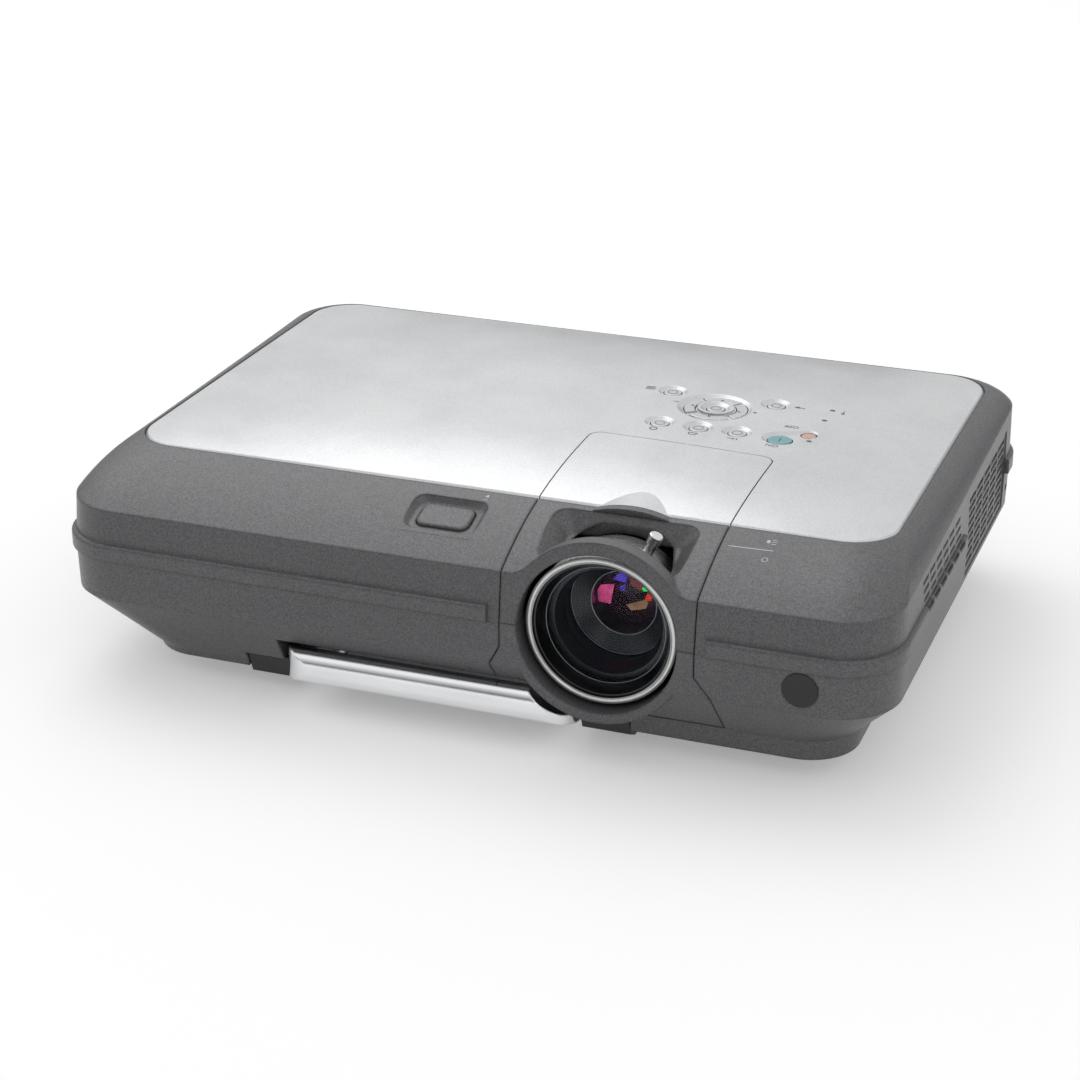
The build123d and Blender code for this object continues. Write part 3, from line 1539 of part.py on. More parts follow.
with BuildPart() as front_lens_cell:
    add(tube(lens_x, lens_z, cell_front_y, cell_rear_y, cell_outer, cell_inner))
    add(cone(cell_front_y, cell_front_y + cell_cone, cell_outer - cell_lip, cell_inner), mode=Mode.SUBTRACT)
finish(front_lens_cell, "front_lens_cell")


def bow_middle(y, radius, bow):
    """A point halfway along a spherical face, from its middle at y to its rim at y + bow."""
    sphere = (radius ** 2 + bow ** 2) / (2 * bow)
    half = math.asin(radius / sphere) / 2
    return y + sphere * (1 - math.cos(half)), lens_z + sphere * math.sin(half)


def lens_glass(name, radius, y_front, y_rear, front_bow, rear_bow):
    """A round glass element with spherical faces, turned about the lens axis."""
    front_rim = (y_front + front_bow, lens_z + radius)
    rear_rim = (y_rear + rear_bow, lens_z + radius)
    with BuildPart() as glass:
        with BuildSketch(Plane.YZ.offset(lens_x)):
            with BuildLine():
                Line((y_front, lens_z), (y_rear, lens_z))
                ThreePointArc((y_rear, lens_z), bow_middle(y_rear, radius, rear_bow), rear_rim)
                Line(rear_rim, front_rim)
                ThreePointArc(front_rim, bow_middle(y_front, radius, front_bow), (y_front, lens_z))
            make_face()
        revolve(axis=Axis((lens_x, 0, lens_z), (0, 1, 0)))
    finish(glass, name)


lens_glass("front_lens", cell_inner, cell_front_y + cell_cone - front_glass_lap, cell_rear_y - front_glass_gap,
           front_glass_bulge, front_glass_hollow)

# Barrel, zoom ring with its stud, and the lens group that the zoom moves
zoom_front_y = focus_rear_y + zoom_gap
zoom_rear_y = zoom_front_y + zoom_length
knob_lean = math.radians(knob_tilt)
knob_plane = Plane(origin=(lens_x, zoom_front_y + zoom_length * 0.4, lens_z), x_dir=(0, 1, 0),
                   z_dir=(math.sin(knob_lean), 0, math.cos(knob_lean)))
knob_root = (barrel_outer + zoom_outer) / 2


def knob_rod(start, end, radius):
    """A rod standing out of the zoom ring between two distances from the lens axis."""
    with BuildPart() as piece:
        with BuildSketch(knob_plane.offset(start)):
            Circle(radius)
        extrude(amount=end - start)
    return piece.part


with BuildPart() as lens_barrel:
    add(tube(lens_x, lens_z, barrel_front_y, zoom_rear_y + 0.6, barrel_outer))
    add(tube(lens_x, lens_z, zoom_rear_y + 0.4, barrel_rear_y - 1, barrel_outer + 2))
    with BuildSketch(upright(barrel_rear_y)):
        with Locations((lens_x, lens_z)):
            Rectangle(barrel_flange_width, barrel_flange_height)
    extrude(amount=barrel_flange)
    add(cone(barrel_front_y, barrel_front_y + baffle_length, barrel_inner, baffle_inner), mode=Mode.SUBTRACT)
    add(bezel_ring(barrel_front_y + baffle_length, barrel_rear_y + 1, barrel_inner), mode=Mode.SUBTRACT)
finish(lens_barrel, "lens_barrel")

with BuildPart() as zoom_ring:
    add(tube(lens_x, lens_z, zoom_front_y, zoom_rear_y, zoom_outer))
    with BuildSketch(upright(zoom_front_y + zoom_tooth_length)):
        with Locations((lens_x, lens_z)):
            with PolarLocations(zoom_outer, zoom_teeth):
                Rectangle(1.4, 1.5)
    extrude(amount=zoom_tooth_length)
    add(bezel_ring(zoom_front_y - 1, zoom_rear_y + 1, barrel_bearing), mode=Mode.SUBTRACT)
    add(knob_rod(knob_root, zoom_outer + 5, knob_stud_radius), mode=Mode.SUBTRACT)
finish(zoom_ring, "zoom_ring")

with BuildPart() as zoom_knob:
    add(knob_rod(knob_root, knob_reach - 1, knob_stud_radius))
    add(knob_rod(knob_reach - knob_head_height, knob_reach, knob_head_radius))
    chamfer(zoom_knob.faces().sort_by(Axis.Z)[-1].edges(), 0.5)
finish(zoom_knob, "zoom_knob")

zoom_cell_front_y = barrel_front_y + zoom_travel + 10
zoom_cell_rear_y = zoom_cell_front_y + zoom_cell_length
with BuildPart() as zoom_lens_cell:
    add(tube(lens_x, lens_z, zoom_cell_front_y, zoom_cell_rear_y, barrel_inner - cell_clearance,
             zoom_glass_radius))
    add(cone(zoom_cell_front_y, zoom_cell_front_y + zoom_cone, zoom_cone_radius, zoom_glass_radius),
        mode=Mode.SUBTRACT)
finish(zoom_lens_cell, "zoom_lens_cell")
lens_glass("zoom_lens", zoom_glass_radius, zoom_cell_front_y + zoom_cone - zoom_glass_lap,
           zoom_cell_rear_y - zoom_glass_setback, zoom_glass_bulge, zoom_glass_rear_bulge)

# Optical engine behind the lens: housing, panels and prism
engine_left_wing_right_x = engine_left_wing_x + engine_left_wing_width
engine_right_wing_x = engine_right_x - engine_right_wing_width
with BuildPart() as optical_housing:
    add(block(engine_left_x, engine_right_x, engine_bridge_y, engine_rear_y, engine_low_z, engine_high_z))
    add(block(engine_left_wing_x, engine_left_wing_right_x, barrel_rear_y, engine_bridge_y,
              engine_low_z, engine_high_z))
    add(block(engine_right_wing_x, engine_right_x, barrel_rear_y, engine_bridge_y, engine_low_z, engine_high_z))
    add(block(engine_left_wing_x, engine_right_x, barrel_rear_y, engine_bridge_y + 5,
              engine_low_z - engine_slab, engine_low_z))
    add(block(engine_left_x + engine_wall, engine_right_x - engine_wall, engine_bridge_y + engine_wall,
              engine_rear_y - engine_wall, engine_low_z + engine_wall, engine_high_z - engine_wall),
        mode=Mode.SUBTRACT)
    add(block(engine_left_wing_x + engine_wall, engine_left_wing_right_x - engine_wall,
              barrel_rear_y + engine_wall, engine_bridge_y + engine_wall + 1,
              engine_low_z + engine_wall, engine_high_z - engine_wall), mode=Mode.SUBTRACT)
    add(block(engine_right_x - 5, engine_right_x + 5, lamp_front_y + light_port_margin,
              lamp_front_y + lamp_cover_length - light_port_margin, engine_low_z + light_port_margin,
              engine_high_z - light_port_margin), mode=Mode.SUBTRACT)
finish(optical_housing, "optical_housing")

with BuildPart() as prism_block:
    add(block(lens_x - prism_half, lens_x + prism_half, prism_y - prism_half, prism_y + prism_half,
              engine_low_z, lens_z + prism_half))
finish(prism_block, "prism_block")

panel_near = prism_half + lcd_gap
panel_far = panel_near + lcd_thick
with BuildPart() as lcd_panels:
    for x_low in (lens_x - panel_far, lens_x + panel_near):
        add(block(x_low, x_low + lcd_thick, prism_y - lcd_half, prism_y + lcd_half,
                  engine_low_z, lens_z + lcd_half))
    add(block(lens_x - lcd_half, lens_x + lcd_half, prism_y + panel_near, prism_y + panel_far,
              engine_low_z, lens_z + lcd_half))
finish(lcd_panels, "lcd_panels")

# Lamp, its housing and the cover underneath it
lamp_house_left_x = lamp_x - lamp_house_width / 2
lamp_house_right_x = lamp_x + lamp_house_width / 2
lamp_house_front_y = lamp_y - lamp_house_depth / 2
lamp_house_rear_y = lamp_y + lamp_house_depth / 2
with BuildPart() as lamp_housing:
    add(block(lamp_house_left_x, lamp_house_right_x, lamp_house_front_y, lamp_house_rear_y,
              lamp_house_low_z, lamp_house_high_z))
    add(block(lamp_house_left_x - 1, lamp_house_right_x - lamp_house_wall, lamp_house_front_y + lamp_house_wall,
              lamp_house_rear_y - lamp_house_wall, lamp_house_low_z + lamp_house_wall,
              lamp_house_high_z - lamp_house_wall), mode=Mode.SUBTRACT)
    with BuildSketch(sideways(lamp_house_right_x - 10)):
        with Locations((lamp_y, lens_z)):
            with GridLocations(1, 8, 1, lamp_vents):
                Rectangle(36, 4)
    extrude(amount=20, mode=Mode.SUBTRACT)
finish(lamp_housing, "lamp_housing")

mouth_x = lamp_house_left_x + 6
back_x = mouth_x + reflector_length
neck_x = back_x + lamp_neck_length
inner_radius = reflector_radius - reflector_wall
with BuildPart() as lamp_bulb:
    with BuildSketch(Plane.XZ.offset(-lamp_y)):
        with BuildLine():
            Polyline((neck_x, lens_z), (neck_x, lens_z + lamp_neck_radius), (back_x, lens_z + lamp_neck_radius))
            ThreePointArc((back_x, lens_z + lamp_neck_radius),
                          (back_x - reflector_length / 3, lens_z + reflector_radius * 0.78),
                          (mouth_x, lens_z + reflector_radius))
            Line((mouth_x, lens_z + reflector_radius), (mouth_x, lens_z + inner_radius))
            ThreePointArc((mouth_x, lens_z + inner_radius),
                          (back_x - reflector_length / 3 - 1, lens_z + inner_radius * 0.76),
                          (back_x - 2, lens_z + lamp_neck_radius - 1))
            Polyline((back_x - 2, lens_z + lamp_neck_radius - 1), (back_x - 16, lens_z + lamp_neck_radius - 1),
                     (back_x - 20, lens_z), (neck_x, lens_z))
        make_face()
    revolve(axis=Axis((0, lamp_y, lens_z), (1, 0, 0)))
finish(lamp_bulb, "lamp_bulb")

cover_half_x = lamp_cover_width / 2
cover_half_y = lamp_cover_length / 2
plug_inset = lamp_ledge + 1
with BuildPart() as lamp_cover:
    add(block(lamp_x - cover_half_x, lamp_x + cover_half_x, lamp_y - cover_half_y, lamp_y + cover_half_y,
              base_bottom_z, base_bottom_z + lamp_step))
    add(block(lamp_x - cover_half_x + plug_inset, lamp_x + cover_half_x - plug_inset,
              lamp_y - cover_half_y + plug_inset, lamp_y + cover_half_y - lamp_screw_ledge - 1,
              base_bottom_z + lamp_step, floor_z + 2))
    for x, y in lamp_screws:
        add(post(x, y, 0, floor_z, screw_radius + 0.1), mode=Mode.SUBTRACT)
    for grip in range(lamp_grips):
        grip_y = lamp_y - 16 + grip * 6
        add(block(lamp_x - 22, lamp_x + 22, grip_y - 1, grip_y + 1, 0, base_bottom_z + 1), mode=Mode.SUBTRACT)
finish(lamp_cover, "lamp_cover")


# Screws: the casing's, and the two that hold the lamp cover
def cross_screw(x, y, z):
    """A pan-head screw driven upwards, with a cross in its head."""
    with BuildPart() as screw:
        add(post(x, y, z, z + screw_head_height, screw_head))
        add(post(x, y, z + screw_head_height, z + screw_head_height + screw_length, screw_radius))
        add(block(x - 1.8, x + 1.8, y - screw_slot / 2, y + screw_slot / 2, z - 1, z + 1), mode=Mode.SUBTRACT)
        add(block(x - screw_slot / 2, x + screw_slot / 2, y - 1.8, y + 1.8, z - 1, z + 1), mode=Mode.SUBTRACT)
    return screw.part


with BuildPart() as screws:
    for x, y in screw_places:
        add(cross_screw(x, y, case_screw_low_z))
    for x, y in lamp_screws:
        add(cross_screw(x, y, base_bottom_z - screw_head_height))
finish(screws, "screws")

# Circuit boards
with BuildPart() as power_supply:
    supply_top_z = supply_z + board_thick
    add(block(supply_left_x, supply_right_x, supply_front_y, supply_rear_y, supply_z, supply_top_z))
    add(block(supply_left_x + 10, supply_left_x + 42, supply_front_y + 13, supply_front_y + 46,
              supply_top_z, supply_top_z + 22))
    add(block(supply_right_x - 60, supply_right_x - 26, supply_rear_y - 54, supply_rear_y - 22,
              supply_top_z, supply_top_z + 20))
    for x, y in ((20, 78), (20, 104), (48, 68), (100, 28)):
        add(post(supply_left_x + x, supply_front_y + y, supply_top_z, supply_top_z + 24, 9))
    for fin in range(3):
        fin_x = supply_left_x + 64 + fin * 8
        add(block(fin_x, fin_x + 2, supply_front_y + 13, supply_front_y + 68, supply_top_z, supply_top_z + 23))
finish(power_supply, "power_supply")

with BuildPart() as main_board:
    main_top_z = main_z + board_thick
    add(block(main_left_x, main_right_x, main_front_y, main_rear_y, main_z, main_top_z))
    add(block(main_right_x, main_tail_right_x, main_tail_front_y, main_rear_y, main_z, main_top_z))
    for x, y, half in ((36, 48, 15), (82, 54, 12), (36, 16, 9), (96, 18, 8)):
        chip_x = main_left_x + x
        chip_y = main_front_y + y
        add(block(chip_x - half, chip_x + half, chip_y - half, chip_y + half, main_top_z, main_top_z + 2.4))
finish(main_board, "main_board")
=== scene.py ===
import math

import bmesh
import bpy
from mathutils import Matrix, Vector


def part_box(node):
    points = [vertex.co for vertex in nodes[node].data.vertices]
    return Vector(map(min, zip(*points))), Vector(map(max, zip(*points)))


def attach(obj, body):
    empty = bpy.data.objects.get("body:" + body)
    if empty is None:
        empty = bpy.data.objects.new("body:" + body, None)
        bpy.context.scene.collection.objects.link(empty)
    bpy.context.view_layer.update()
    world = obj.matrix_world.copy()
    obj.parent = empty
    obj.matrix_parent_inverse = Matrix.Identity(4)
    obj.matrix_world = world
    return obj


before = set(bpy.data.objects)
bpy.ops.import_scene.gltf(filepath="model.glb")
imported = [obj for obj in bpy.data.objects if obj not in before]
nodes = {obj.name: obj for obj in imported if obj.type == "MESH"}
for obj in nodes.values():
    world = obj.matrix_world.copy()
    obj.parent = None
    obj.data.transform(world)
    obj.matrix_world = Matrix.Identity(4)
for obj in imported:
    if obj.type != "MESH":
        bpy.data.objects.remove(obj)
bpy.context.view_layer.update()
scene = bpy.context.scene
scene.view_settings.view_transform = "Standard"

MM = 0.001

# Places read from the frame
ring_low, ring_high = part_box("focus_ring")
LENS_X = (ring_low.x + ring_high.x) / 2
LENS_Z = (ring_low.z + ring_high.z) / 2
FRONT_Y = ring_low.y


# Camera, at the photograph's viewing angle
CAMERA_PLACE = Vector((369.305, -1026.100, 511.102)) * MM
CAMERA_RIGHT = Vector((0.937795, 0.347188, 0.000892))
CAMERA_UP = Vector((-0.138987, 0.373063, 0.917337))
CAMERA_AHEAD = Vector((-0.318155, 0.860398, -0.398112))
CAMERA_LENS = 83.686
CAMERA_SENSOR = 36.0


def make_camera():
    data = bpy.data.cameras.new("camera")
    data.sensor_width = CAMERA_SENSOR
    data.lens = CAMERA_LENS
    data.clip_start = 50 * MM
    camera = bpy.data.objects.new("camera", data)
    turn = Matrix((CAMERA_RIGHT, CAMERA_UP, -CAMERA_AHEAD)).transposed()
    camera.matrix_world = Matrix.Translation(CAMERA_PLACE) @ turn.to_4x4()
    scene.collection.objects.link(camera)
    scene.camera = camera


# Studio
FLOOR_HALF = 6.0
FLOOR_GLOW = 0.3
WORLD_STRENGTH = 0.62
DARK_SIDE = (0.1, -1.0, 0.05)
DARK_TONE = (0.22, 0.22, 0.23)
BAND_TONE = (0.16, 0.17, 0.18)
CENTRE = (0, 0, 0)


def ray_kinds(tree):
    """1 for rays that show the surroundings themselves: seen directly, in gloss or through glass."""
    paths = tree.nodes.new("ShaderNodeLightPath")
    total = paths.outputs["Is Camera Ray"]
    for kind in ("Is Glossy Ray", "Is Transmission Ray"):
        either = tree.nodes.new("ShaderNodeMath")
        either.operation = "MAXIMUM"
        tree.links.new(total, either.inputs[0])
        tree.links.new(paths.outputs[kind], either.inputs[1])
        total = either.outputs[0]
    return total


def make_floor():
    """A white floor that keeps the shadow and looks as white as the backdrop."""
    corners = [(x * FLOOR_HALF, y * FLOOR_HALF, 0) for x, y in ((-1, -1), (1, -1), (1, 1), (-1, 1))]
    data = bpy.data.meshes.new("floor")
    data.from_pydata(corners, [], [(0, 1, 2, 3)])
    floor = bpy.data.objects.new("floor", data)
    scene.collection.objects.link(floor)
    material, shader, tree = principled("floor_white", (0.9, 0.9, 0.9), roughness=0.9)
    shader.inputs["Specular IOR Level"].default_value = 0.0
    shader.inputs["Emission Color"].default_value = (1, 1, 1, 1)
    tree.links.new(spread(tree, ray_kinds(tree), 0.0, FLOOR_GLOW), shader.inputs["Emission Strength"])
    data.materials.append(material)


def area_light(name, place, aim, side, power):
    """A square soft lamp that faces a point."""
    data = bpy.data.lights.new(name, "AREA")
    data.shape = "SQUARE"
    data.size = side
    data.energy = power
    light = bpy.data.objects.new(name, data)
    direction = Vector(aim) - Vector(place)
    turn = direction.to_track_quat("-Z", "Y").to_matrix().to_4x4()
    light.matrix_world = Matrix.Translation(Vector(place)) @ turn
    scene.collection.objects.link(light)


def make_world():
    """White all round, darker in front and along the horizon, as a room is round a photographer."""
    world = bpy.data.worlds.new("studio")
    scene.world = world
    world.use_nodes = True
    tree = world.node_tree
    tree.nodes.clear()
    place = tree.nodes.new("ShaderNodeTexCoord")
    facing = tree.nodes.new("ShaderNodeVectorMath")
    facing.operation = "DOT_PRODUCT"
    facing.inputs[1].default_value = Vector(DARK_SIDE).normalized()
    tree.links.new(place.outputs["Generated"], facing.inputs[0])
    front = ramp(tree, facing.outputs["Value"], (1.0, 1.0, 1.0), DARK_TONE, 0.55, 0.95)
    height = tree.nodes.new("ShaderNodeSeparateXYZ")
    tree.links.new(place.outputs["Generated"], height.inputs["Vector"])
    band = ramp(tree, height.outputs["Z"], BAND_TONE, (1.0, 1.0, 1.0), 0.10, 0.24)
    room = multiply_colors(tree, front, band, 1.0)
    paths = tree.nodes.new("ShaderNodeLightPath")
    seen = tree.nodes.new("ShaderNodeMix")
    seen.data_type = "RGBA"
    seen.inputs["B"].default_value = (1, 1, 1, 1)
    tree.links.new(paths.outputs["Is Camera Ray"], seen.inputs["Factor"])
    tree.links.new(room, seen.inputs["A"])
    background = tree.nodes.new("ShaderNodeBackground")
    tree.links.new(seen.outputs["Result"], background.inputs["Color"])
    tree.links.new(spread(tree, ray_kinds(tree), WORLD_STRENGTH, 1.0), background.inputs["Strength"])
    output = tree.nodes.new("ShaderNodeOutputWorld")
    tree.links.new(background.outputs[0], output.inputs["Surface"])


# Materials
GRAIN_DEPTH = 0.05 * MM
SMALL_EDGE = 0.3 * MM


def principled(name, color, metallic=0.0, roughness=0.5):
    material = bpy.data.materials.new(name)
    material.use_nodes = True
    tree = material.node_tree
    shader = tree.nodes["Principled BSDF"]
    shader.inputs["Base Color"].default_value = (*color, 1)
    shader.inputs["Metallic"].default_value = metallic
    shader.inputs["Roughness"].default_value = roughness
    return material, shader, tree


def texture(tree, kind, scale, **settings):
    """A texture node laid out in the object's own metres."""
    place = tree.nodes.new("ShaderNodeTexCoord")
    node = tree.nodes.new(kind)
    node.inputs["Scale"].default_value = scale
    for name, value in settings.items():
        node.inputs[name.replace("_", " ").title()].default_value = value
    tree.links.new(place.outputs["Object"], node.inputs["Vector"])
    return node


def ramp(tree, source, low, high, at_low, at_high):
    """Turns a texture's value into a colour between two colours."""
    node = tree.nodes.new("ShaderNodeValToRGB")
    node.color_ramp.elements[0].position = at_low
    node.color_ramp.elements[0].color = (*low, 1)
    node.color_ramp.elements[1].position = at_high
    node.color_ramp.elements[1].color = (*high, 1)
    tree.links.new(source, node.inputs["Fac"])
    return node.outputs["Color"]


def multiply_colors(tree, first, second, factor):
    """One colour darkened by another."""
    node = tree.nodes.new("ShaderNodeMix")
    node.data_type = "RGBA"
    node.blend_type = "MULTIPLY"
    node.inputs["Factor"].default_value = factor
    tree.links.new(first, node.inputs["A"])
    tree.links.new(second, node.inputs["B"])
    return node.outputs["Result"]


def spread(tree, source, low, high):
    """Maps a texture's value onto a range of numbers."""
    node = tree.nodes.new("ShaderNodeMapRange")
    node.inputs["To Min"].default_value = low
    node.inputs["To Max"].default_value = high
    tree.links.new(source, node.inputs["Value"])
    return node.outputs["Result"]


def bump(tree, shader, source, strength, distance):
    node = tree.nodes.new("ShaderNodeBump")
    node.inputs["Strength"].default_value = strength
    node.inputs["Distance"].default_value = distance
    tree.links.new(source, node.inputs["Height"])
    tree.links.new(node.outputs["Normal"], shader.inputs["Normal"])
    return node


def soft_edges(tree, bump_node, radius):
    """Rounds the sharp edges of the solids in the shading alone."""
    node = tree.nodes.new("ShaderNodeBevel")
    node.samples = 4
    node.inputs["Radius"].default_value = radius
    tree.links.new(node.outputs["Normal"], bump_node.inputs["Normal"])


def speckled(name, dark, light, metallic, roughness, grain, edge, bump_strength):
    """Painted plastic with fine flakes, slightly uneven gloss and softened edges."""
    material, shader, tree = principled(name, light, metallic, roughness)
    flakes = texture(tree, "ShaderNodeTexVoronoi", grain)
    cloud = texture(tree, "ShaderNodeTexNoise", 14.0, detail=4.0)
    tone = ramp(tree, flakes.outputs["Color"], dark, light, 0.15, 0.85)
    wash = ramp(tree, cloud.outputs["Fac"], (0.93, 0.93, 0.93), (1.0, 1.0, 1.0), 0.3, 0.7)
    tree.links.new(multiply_colors(tree, tone, wash, 1.0), shader.inputs["Base Color"])
    tree.links.new(spread(tree, cloud.outputs["Fac"], roughness - 0.06, roughness + 0.06),
                   shader.inputs["Roughness"])
    soft_edges(tree, bump(tree, shader, flakes.outputs["Distance"], bump_strength, GRAIN_DEPTH), edge)
    return material


def silver_paint():
    """Silver paint with fine flakes, faint smudges and long hairline scuffs."""
    material, shader, tree = principled("silver_paint", (0.62, 0.63, 0.64), 0.75, 0.34)
    flakes = texture(tree, "ShaderNodeTexVoronoi", 2600.0)
    smudge = texture(tree, "ShaderNodeTexNoise", 22.0, detail=8.0, roughness=0.65)
    scuff = texture(tree, "ShaderNodeTexNoise", 60.0, detail=12.0, roughness=0.8, distortion=1.5)
    tone = ramp(tree, flakes.outputs["Color"], (0.55, 0.56, 0.57), (0.68, 0.69, 0.69), 0.1, 0.9)
    wash = ramp(tree, smudge.outputs["Fac"], (0.90, 0.90, 0.91), (1.0, 1.0, 1.0), 0.33, 0.6)
    marks = ramp(tree, scuff.outputs["Fac"], (0.72, 0.72, 0.73), (1.0, 1.0, 1.0), 0.27, 0.34)
    worn = multiply_colors(tree, multiply_colors(tree, tone, wash, 1.0), marks, 0.6)
    tree.links.new(worn, shader.inputs["Base Color"])
    tree.links.new(spread(tree, smudge.outputs["Fac"], 0.27, 0.42), shader.inputs["Roughness"])
    soft_edges(tree, bump(tree, shader, flakes.outputs["Distance"], 0.12, 0.00004), 0.0005)
    return material


def moulded(name, color, roughness, grain=900.0, strength=0.15):
    """Plain moulded plastic or rubber with a fine texture."""
    material, shader, tree = principled(name, color, 0.0, roughness)
    skin = texture(tree, "ShaderNodeTexNoise", grain, detail=3.0)
    cloud = texture(tree, "ShaderNodeTexNoise", 30.0, detail=3.0)
    low = tuple(value * 0.85 for value in color)
    tree.links.new(ramp(tree, cloud.outputs["Fac"], low, color, 0.3, 0.7), shader.inputs["Base Color"])
    gloss = spread(tree, cloud.outputs["Fac"], roughness - 0.05, roughness + 0.07)
    tree.links.new(gloss, shader.inputs["Roughness"])
    soft_edges(tree, bump(tree, shader, skin.outputs["Fac"], strength, GRAIN_DEPTH), SMALL_EDGE)
    return material


def metal(name, color, roughness, grain, stretch=(1.0, 1.0, 1.0), strength=0.04, edge=SMALL_EDGE):
    """Bare metal with fine drawn lines and uneven gloss."""
    material, shader, tree = principled(name, color, 1.0, roughness)
    place = tree.nodes.new("ShaderNodeTexCoord")
    scale = tree.nodes.new("ShaderNodeMapping")
    scale.inputs["Scale"].default_value = stretch
    tree.links.new(place.outputs["Object"], scale.inputs["Vector"])
    lines = tree.nodes.new("ShaderNodeTexNoise")
    lines.inputs["Scale"].default_value = grain
    lines.inputs["Detail"].default_value = 5.0
    tree.links.new(scale.outputs["Vector"], lines.inputs["Vector"])
    low = tuple(value * 0.88 for value in color)
    tree.links.new(ramp(tree, lines.outputs["Fac"], low, color, 0.3, 0.65), shader.inputs["Base Color"])
    gloss = spread(tree, lines.outputs["Fac"], roughness * 0.75, roughness * 1.35)
    tree.links.new(gloss, shader.inputs["Roughness"])
    soft_edges(tree, bump(tree, shader, lines.outputs["Fac"], strength, GRAIN_DEPTH), edge)
    return material


def glass(name, tint, roughness, ior=1.5):
    """Clear glass with a thin tinted coat and a trace of dust."""
    material, shader, tree = principled(name, tint, 0.0, roughness)
    shader.inputs["Transmission Weight"].default_value = 1.0
    shader.inputs["IOR"].default_value = ior
    shader.inputs["Specular Tint"].default_value = (0.75, 0.85, 1.0, 1)
    dust = texture(tree, "ShaderNodeTexNoise", 700.0, detail=6.0)
    tree.links.new(spread(tree, dust.outputs["Fac"], 0.0, roughness * 2), shader.inputs["Roughness"])
    return material


def circuit_board():
    """Green solder mask with darker tracks."""
    material, shader, tree = principled("circuit_board", (0.03, 0.2, 0.08), 0.0, 0.35)
    tracks = texture(tree, "ShaderNodeTexBrick", 90.0)
    tracks.inputs["Color1"].default_value = (0.02, 0.16, 0.07, 1)
    tracks.inputs["Color2"].default_value = (0.03, 0.22, 0.09, 1)
    tracks.inputs["Mortar"].default_value = (0.012, 0.1, 0.045, 1)
    tree.links.new(tracks.outputs["Color"], shader.inputs["Base Color"])
    bump(tree, shader, tracks.outputs["Fac"], 0.2, 0.0001)
    return material


def coated_glass(name, coat, edge_glow):
    """A clear element that only reflects, more so at a slant, in the colour of its coating."""
    material, shader, tree = principled(name, coat, 1.0, 0.04)
    clear = tree.nodes.new("ShaderNodeBsdfTransparent")
    clear.inputs["Color"].default_value = (0.94, 0.96, 0.97, 1)
    slant = tree.nodes.new("ShaderNodeLayerWeight")
    slant.inputs["Blend"].default_value = edge_glow
    dust = texture(tree, "ShaderNodeTexNoise", 500.0, detail=8.0)
    tree.links.new(spread(tree, dust.outputs["Fac"], 0.0, 0.09), shader.inputs["Roughness"])
    mixed = tree.nodes.new("ShaderNodeMixShader")
    tree.links.new(slant.outputs["Fresnel"], mixed.inputs["Fac"])
    tree.links.new(clear.outputs["BSDF"], mixed.inputs[1])
    tree.links.new(shader.outputs["BSDF"], mixed.inputs[2])
    tree.links.new(mixed.outputs["Shader"], tree.nodes["Material Output"].inputs["Surface"])
    return material


def painted_glow_material(name, color, glow):
    """Painted glow: a coloured surface that shines in its own colour though it is no lamp, mottled darker at
    random.
    """
    material, shader, tree = principled(name, color, 0.4, 0.12)
    cloud = texture(tree, "ShaderNodeTexNoise", 260.0, detail=4.0)
    low = tuple(value * 0.45 for value in color)
    tone = ramp(tree, cloud.outputs["Fac"], low, color, 0.3, 0.6)
    tree.links.new(tone, shader.inputs["Base Color"])
    tree.links.new(tone, shader.inputs["Emission Color"])
    shader.inputs["Emission Strength"].default_value = glow
    return material


GRAPHITE = speckled("graphite_paint", (0.085, 0.086, 0.089), (0.16, 0.161, 0.166), 0.35, 0.40, 2300.0,
                    0.0018, 0.12)
SILVER = silver_paint()
BLACK = moulded("black_plastic", (0.018, 0.018, 0.018), 0.45)
BLACK_SATIN = moulded("lens_black", (0.010, 0.010, 0.011), 0.3, grain=1500.0, strength=0.05)
GLOSS_BLACK = moulded("gloss_black", (0.004, 0.004, 0.004), 0.12, grain=400.0, strength=0.02)
RUBBER = moulded("rubber", (0.02, 0.02, 0.02), 0.75, grain=600.0, strength=0.4)
FOAM = moulded("foam", (0.03, 0.03, 0.03), 0.95, grain=1100.0, strength=1.0)
KEY_PEARL = speckled("key_pearl", (0.52, 0.54, 0.56), (0.66, 0.68, 0.70), 0.5, 0.24, 3000.0, 0.0005, 0.05)
KEY_ON = speckled("key_on", (0.12, 0.34, 0.38), (0.20, 0.46, 0.50), 0.2, 0.2, 3000.0, 0.0005, 0.05)
KEY_OFF = speckled("key_off", (0.62, 0.33, 0.27), (0.72, 0.44, 0.37), 0.2, 0.2, 3000.0, 0.0005, 0.05)
POLISHED = metal("polished_aluminium", (0.86, 0.87, 0.88), 0.13, 120.0, (0.15, 1.0, 1.0), 0.03, 0.0015)
RING_SILVER = metal("ring_silver", (0.66, 0.66, 0.65), 0.27, 300.0, (1.0, 4.0, 1.0), 0.05)
RING_DARK = metal("ring_dark", (0.34, 0.34, 0.34), 0.32, 300.0, (1.0, 4.0, 1.0), 0.05)
RIM_BRIGHT = metal("rim_bright", (0.66, 0.655, 0.65), 0.3, 400.0, (1.0, 1.0, 1.0), 0.02, 0.0004)
EDGE_GREY = metal("edge_grey", (0.34, 0.36, 0.38), 0.3, 400.0, (1.0, 1.0, 1.0), 0.02, 0.0001)
STEEL = metal("plain_steel", (0.56, 0.57, 0.58), 0.35, 300.0)
CAST = speckled("cast_magnesium", (0.25, 0.25, 0.26), (0.36, 0.36, 0.37), 0.8, 0.5, 900.0, 0.0005, 0.4)
FRONT_GLASS = coated_glass("front_glass", (0.55, 0.66, 0.80), 0.12)
ZOOM_GLASS = coated_glass("zoom_glass", (0.62, 0.50, 0.72), 0.12)
